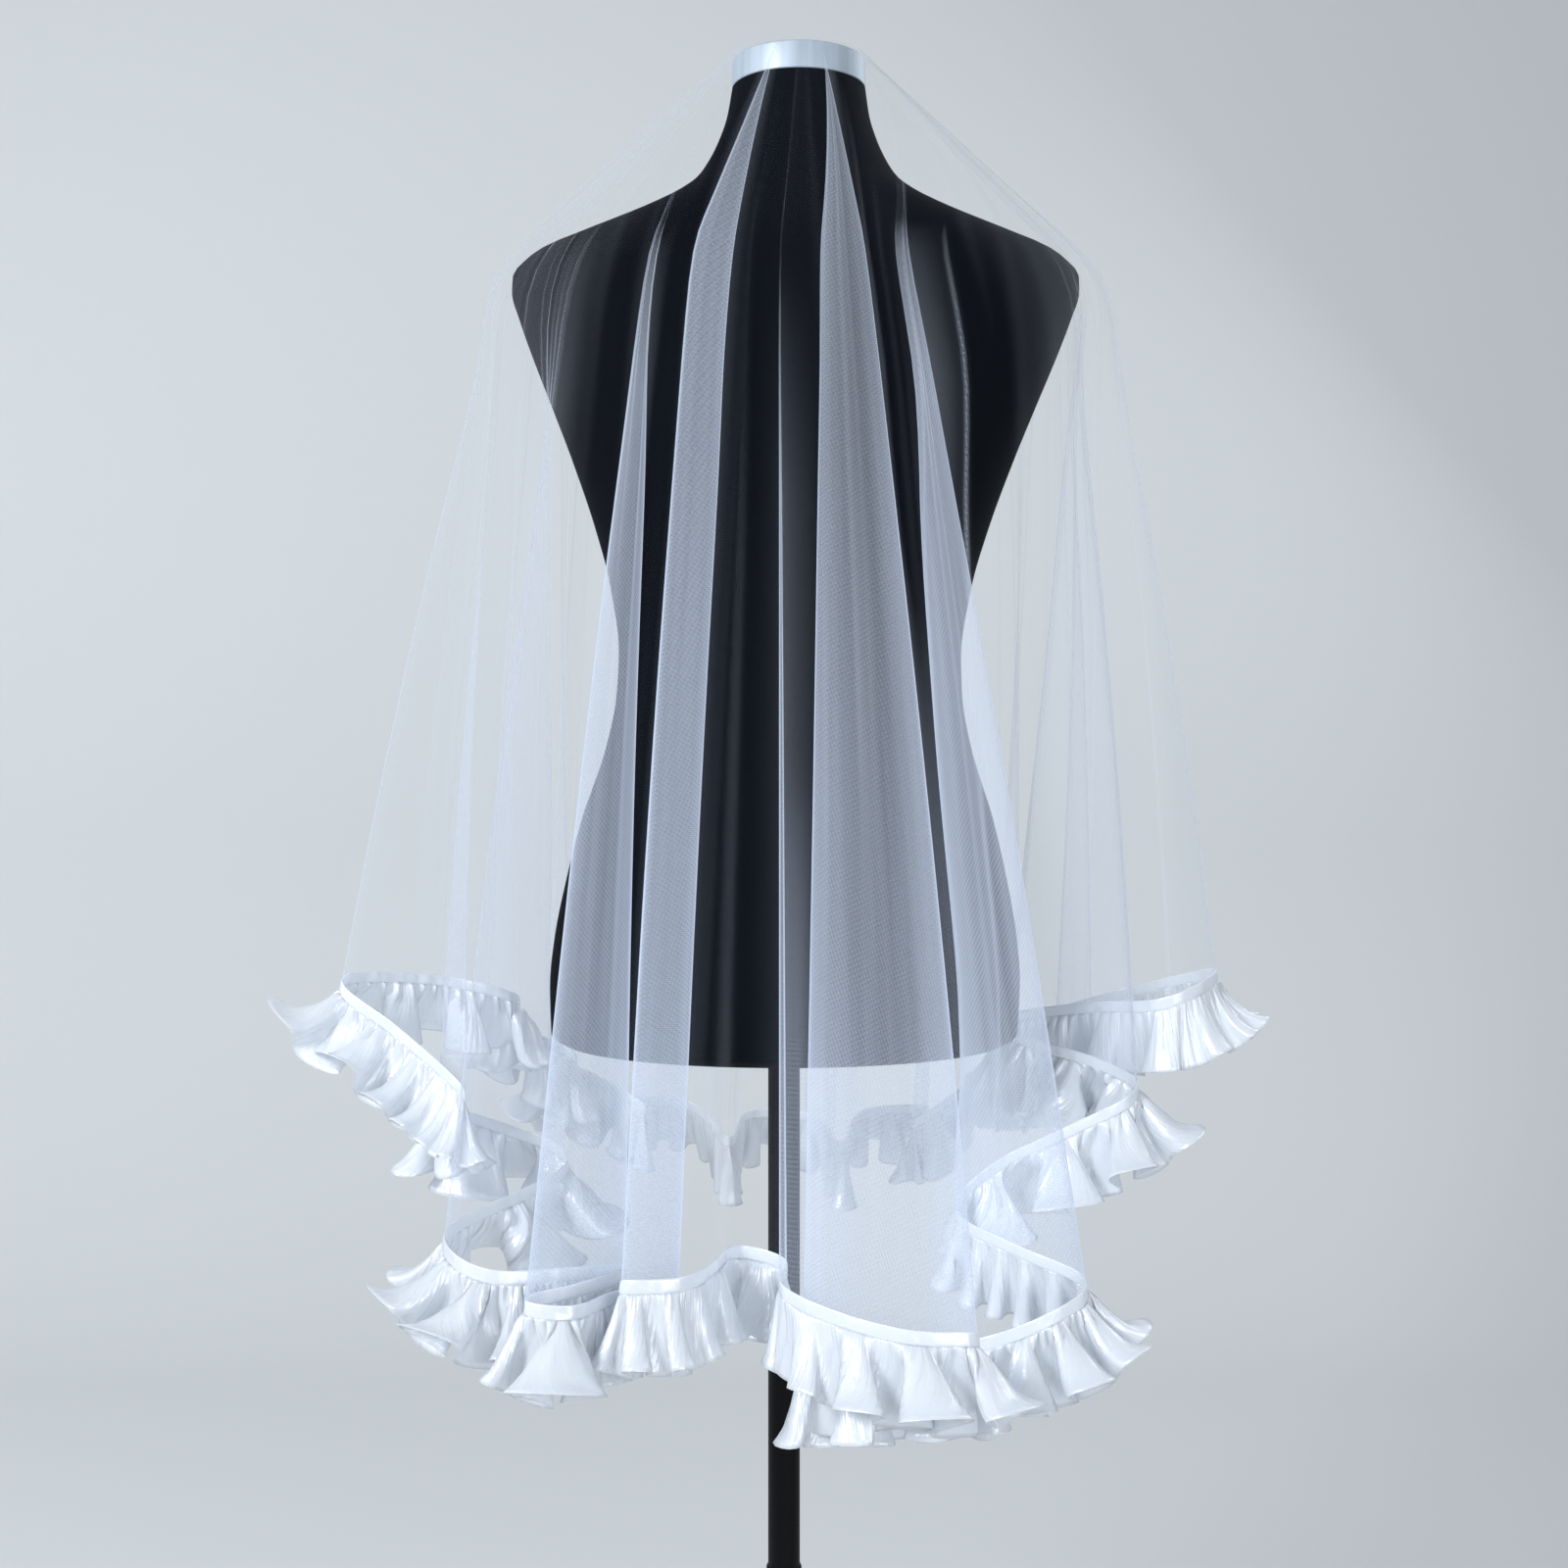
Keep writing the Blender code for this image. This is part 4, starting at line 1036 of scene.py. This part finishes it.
# The limits keep each wave to what the strip can do.
pace = np.exp(np.clip(uneven(count, reach=130, share=0.42), -0.5, 0.75))
phase = np.concatenate([[0], np.cumsum(pace)[:-1]]) * math.tau * WAVES / pace.sum()
size = np.clip(1 + uneven(count, reach=110, share=0.36), 0.35, 1.6)
tilt = uneven(count, reach=140, share=1.1)
gather_phase = phase * GATHER_TURNS + uneven(count, reach=260, share=1.6)
crease_phase = phase * CREASE_TURNS + uneven(count, reach=180, share=2.2)
crease_depth = np.clip(1 + uneven(count, reach=90, share=0.7), 0, 2.2)
gather_depth = np.clip(1 + uneven(count, reach=500, share=0.4), 0.3, 1.8)
groove = bell(np.sin(gather_phase), 0.5)
swing = finer(room) * size / pace**0.5  # a wide wave swings further than a narrow one
overhang = OVERHANG * size / pace * np.clip(finer(room) / SWING, 0, 1) ** 1.3
roomy = np.clip(swing / SWING, 0.35, 1)  # gathers and creases are lower where there is little room
print(WAVES, "waves, from", round(swing.min() / MM, 1), "to", round(swing.max() / MM, 1), "mm to each side")

# %% [markdown]
# The ruffle could be a cloth simulation of a gathered strip, which takes long and falls as it likes. Here
# it is one formula, ring by ring, so that each wave can be followed from the header to the free edge.

# %% The ruffle
RUFFLE_LEVELS = np.array([0, 0.035, 0.08, 0.14, 0.23, 0.35, 0.5, 0.66, 0.82, 0.93, 1.0])
OPENING = 0.22  # the level at which the waves are about two thirds open
HEADER_SWING = 0.4  # the share of its swing that a wave would have at the header if it were open there
OVERHANG_POWER = 0.8  # below 1, the overhang grows soon below the header
FLICK_FROM = 0.7  # the level from which the free edge flicks out
FLICK = 0.3
EDGE_LIFT = 2.5 * MM  # how far the free edge is drawn up at a crest
PUFF, GROOVE = 1.8 * MM, 3.4 * MM  # of the gathers, and where they lie on the depth of the strip
GATHER_LEVEL, GATHER_REACH = 0.12, 0.16
SWELL, CREASE = 1.0 * MM, 2.4 * MM  # of the creases below them, and where they lie
CREASE_LEVEL, CREASE_REACH = 0.5, 0.42
CREASE_DRIFT, CREASE_SLANT = 0.9, 1.2  # how the long creases stray from the gathers that they start from
SHORT_CREASE = 0.6  # the depth of the creases between them
CLOTH_THICKNESS = 0.4 * MM

header = finer(HEM) + finer(DOWN) * RUFFLE_TOP
ways_down, ways_out = unit(finer(DOWN)), unit(finer(OUT))
ways_along = unit(np.cross(ways_out, ways_down))
flare = FLARE * finer(CURVE[:, 6])


def ruffle_ring(level):
    """The ruffle at a level of its depth. Across, it swings as sin(p). Along, it shifts by -sin(2p), which
    makes each wave wider at its crest than at its foot. Near the header narrow grooves take over, five to a
    wave, where the thread draws the strip up, and the strip puffs out between them. Soft creases run on
    from the gathers down the strip. All of this is square to the strip where it leans."""
    out, down = leaning(flare, level)
    opened = 1 - math.exp(-level / OPENING)
    crest = np.sin(phase + tilt * level)
    at_edge = max(level - FLICK_FROM, 0) / (1 - FLICK_FROM)
    across = swing * opened * (HEADER_SWING + (1 - HEADER_SWING) * level) * (1 + FLICK * at_edge**2) * crest
    near_header = bell(level - GATHER_LEVEL, GATHER_REACH) * (level > 0)
    across += near_header * (PUFF - GROOVE * groove * gather_depth) * roomy
    crease = bell(np.sin(CREASE_DRIFT * gather_phase + CREASE_SLANT * level), 0.45)
    crease = crease + SHORT_CREASE * bell(np.sin(crease_phase), 0.3)
    across += (SWELL - CREASE * crease * crease_depth) * bell(level - CREASE_LEVEL, CREASE_REACH) * roomy
    shift = -overhang * opened * level**OVERHANG_POWER * np.sin(2 * phase + 2 * tilt * level)
    down = down - EDGE_LIFT * at_edge * (0.5 + 0.5 * crest)
    lean_sine = np.clip(out / (RUFFLE_DEPTH * max(level, 0.01)), -1, 1)
    down = down - across * lean_sine
    out = out + across * np.sqrt(1 - lean_sine**2)
    return header + ways_down * down[:, None] + ways_out * out[:, None] + ways_along * shift[:, None]


ruffle_grid = np.array([ruffle_ring(level) for level in RUFFLE_LEVELS])
ruffle = add_surface("ruffle", ruffle_grid, satin, flip=True)
strip_length = step_lengths(ruffle_grid[-1]).sum()
add_cloth_map(ruffle, np.arange(count) * strip_length / count, RUFFLE_LEVELS * RUFFLE_DEPTH, count)
thickness = ruffle.modifiers.new("cloth thickness", "SOLIDIFY")
thickness.thickness = CLOTH_THICKNESS
thickness.offset = 0.0  # half to each side
print("the ruffle's free edge is", round(strip_length, 1), "m long")

# %% [markdown]
# ## The room and the light
# A plain pale floor that bends up into a wall, a large soft lamp high at the left in front, which leaves
# the right side of the wall in a soft shade, and a weak even light from all round that fills the folds.

# %% Floor and wall
SWEEP = 0.8  # the radius in metres of the curve between the floor and the wall
WALL = 2.4  # how far behind the form's middle the wall stands
REACH = 4.0  # of the floor to the front and to both sides, and of the wall upwards
FLOOR_DROP = 1 * MM  # so the stand's base never lies in the floor
BEND_STEPS = 17

pale_paint = new_material("pale_paint")
finish_with(pale_paint, node(pale_paint, "BsdfPrincipled", Base_Color=linear("#d1d3d3"), Roughness=0.9))
bend = np.linspace(0, math.pi / 2, BEND_STEPS)
profile_y = np.concatenate([[-REACH], WALL - SWEEP + SWEEP * np.sin(bend), [WALL]])
profile_z = np.concatenate([[0], SWEEP - SWEEP * np.cos(bend), [REACH]]) - FLOOR_DROP
profile_y, profile_z = profile_y[:, None], profile_z[:, None]
backdrop_grid = np.stack(np.broadcast_arrays([-REACH, REACH], profile_y, profile_z), axis=-1)
backdrop = add_surface("backdrop", backdrop_grid, pale_paint, closed=False)

# %% Lamps
LAMP_WHITE = "#f6faff"
ROOM_WHITE = "#e4ebf2"  # of the even light that the walls of a pale room send back
ROOM_STRENGTH = 0.47
CLEAR_LAYERS = 24
LAMPS = [
    # name, place, aimed at, size, power in watts
    ("window_light", (-2.0, -2.1, 2.5), (0, 0, 1.1), 1.0, 88),
    ("front_fill", (1.2, -2.8, 1.3), (0, 0, 1.0), 1.6, 34),
    ("back_fill", (1.6, 1.3, 2.2), (0, 0.2, 0.8), 1.2, 14),
    ("wall_light", (-2.4, 0.2, 1.6), (-0.3, 2.4, 1.1), 1.8, 19),
]
for name, place, target, size_of_lamp, power in LAMPS:
    lamp_data = bpy.data.lights.new(name, "AREA")
    lamp_data.energy = power
    lamp_data.size = size_of_lamp
    lamp_data.color = linear(LAMP_WHITE)[:3]
    lamp = bpy.data.objects.new(name, lamp_data)
    lamp.location = place
    away_from = np.array(place) - np.array(target)
    lamp.rotation_euler = (
        math.atan2(math.hypot(away_from[0], away_from[1]), away_from[2]),
        0,
        math.atan2(away_from[0], -away_from[1]),
    )
    bpy.context.scene.collection.objects.link(lamp)

world = bpy.data.worlds.new("even_light")
world.use_nodes = True
background = world.node_tree.nodes["Background"]
background.inputs["Color"].default_value = linear(ROOM_WHITE)
background.inputs["Strength"].default_value = ROOM_STRENGTH
bpy.context.scene.world = world
bpy.context.scene.view_settings.view_transform = "Standard"
# From the side, a line of sight crosses up to 14 layers of the net, and it turns black where light may not
# pass that many clear surfaces.
bpy.context.scene.cycles.transparent_max_bounces = CLEAR_LAYERS
print("lamps:", [row[0] for row in LAMPS])

# %% [markdown]
# ## What each piece stands for
# Each new surface replaces its solid in the frame, which is hidden, and rides on the part's one body.

# %% The frame's bindings
for piece, cad_node, slot_name in (
    (net_piece, "veil_tulle", "tulle"),
    (band, "hem_band", "satin"),
    (ruffle, "satin_ruffle", "satin"),
    (form, "dress_form", "jersey"),
    (cap, "neck_cap", "silver_card"),
    (base, "stand_base", "black_metal"),
    (pole, "stand_pole", "black_metal"),
):
    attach(piece, "root")
    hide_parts(cad_node)

bpy.context.view_layer.update()
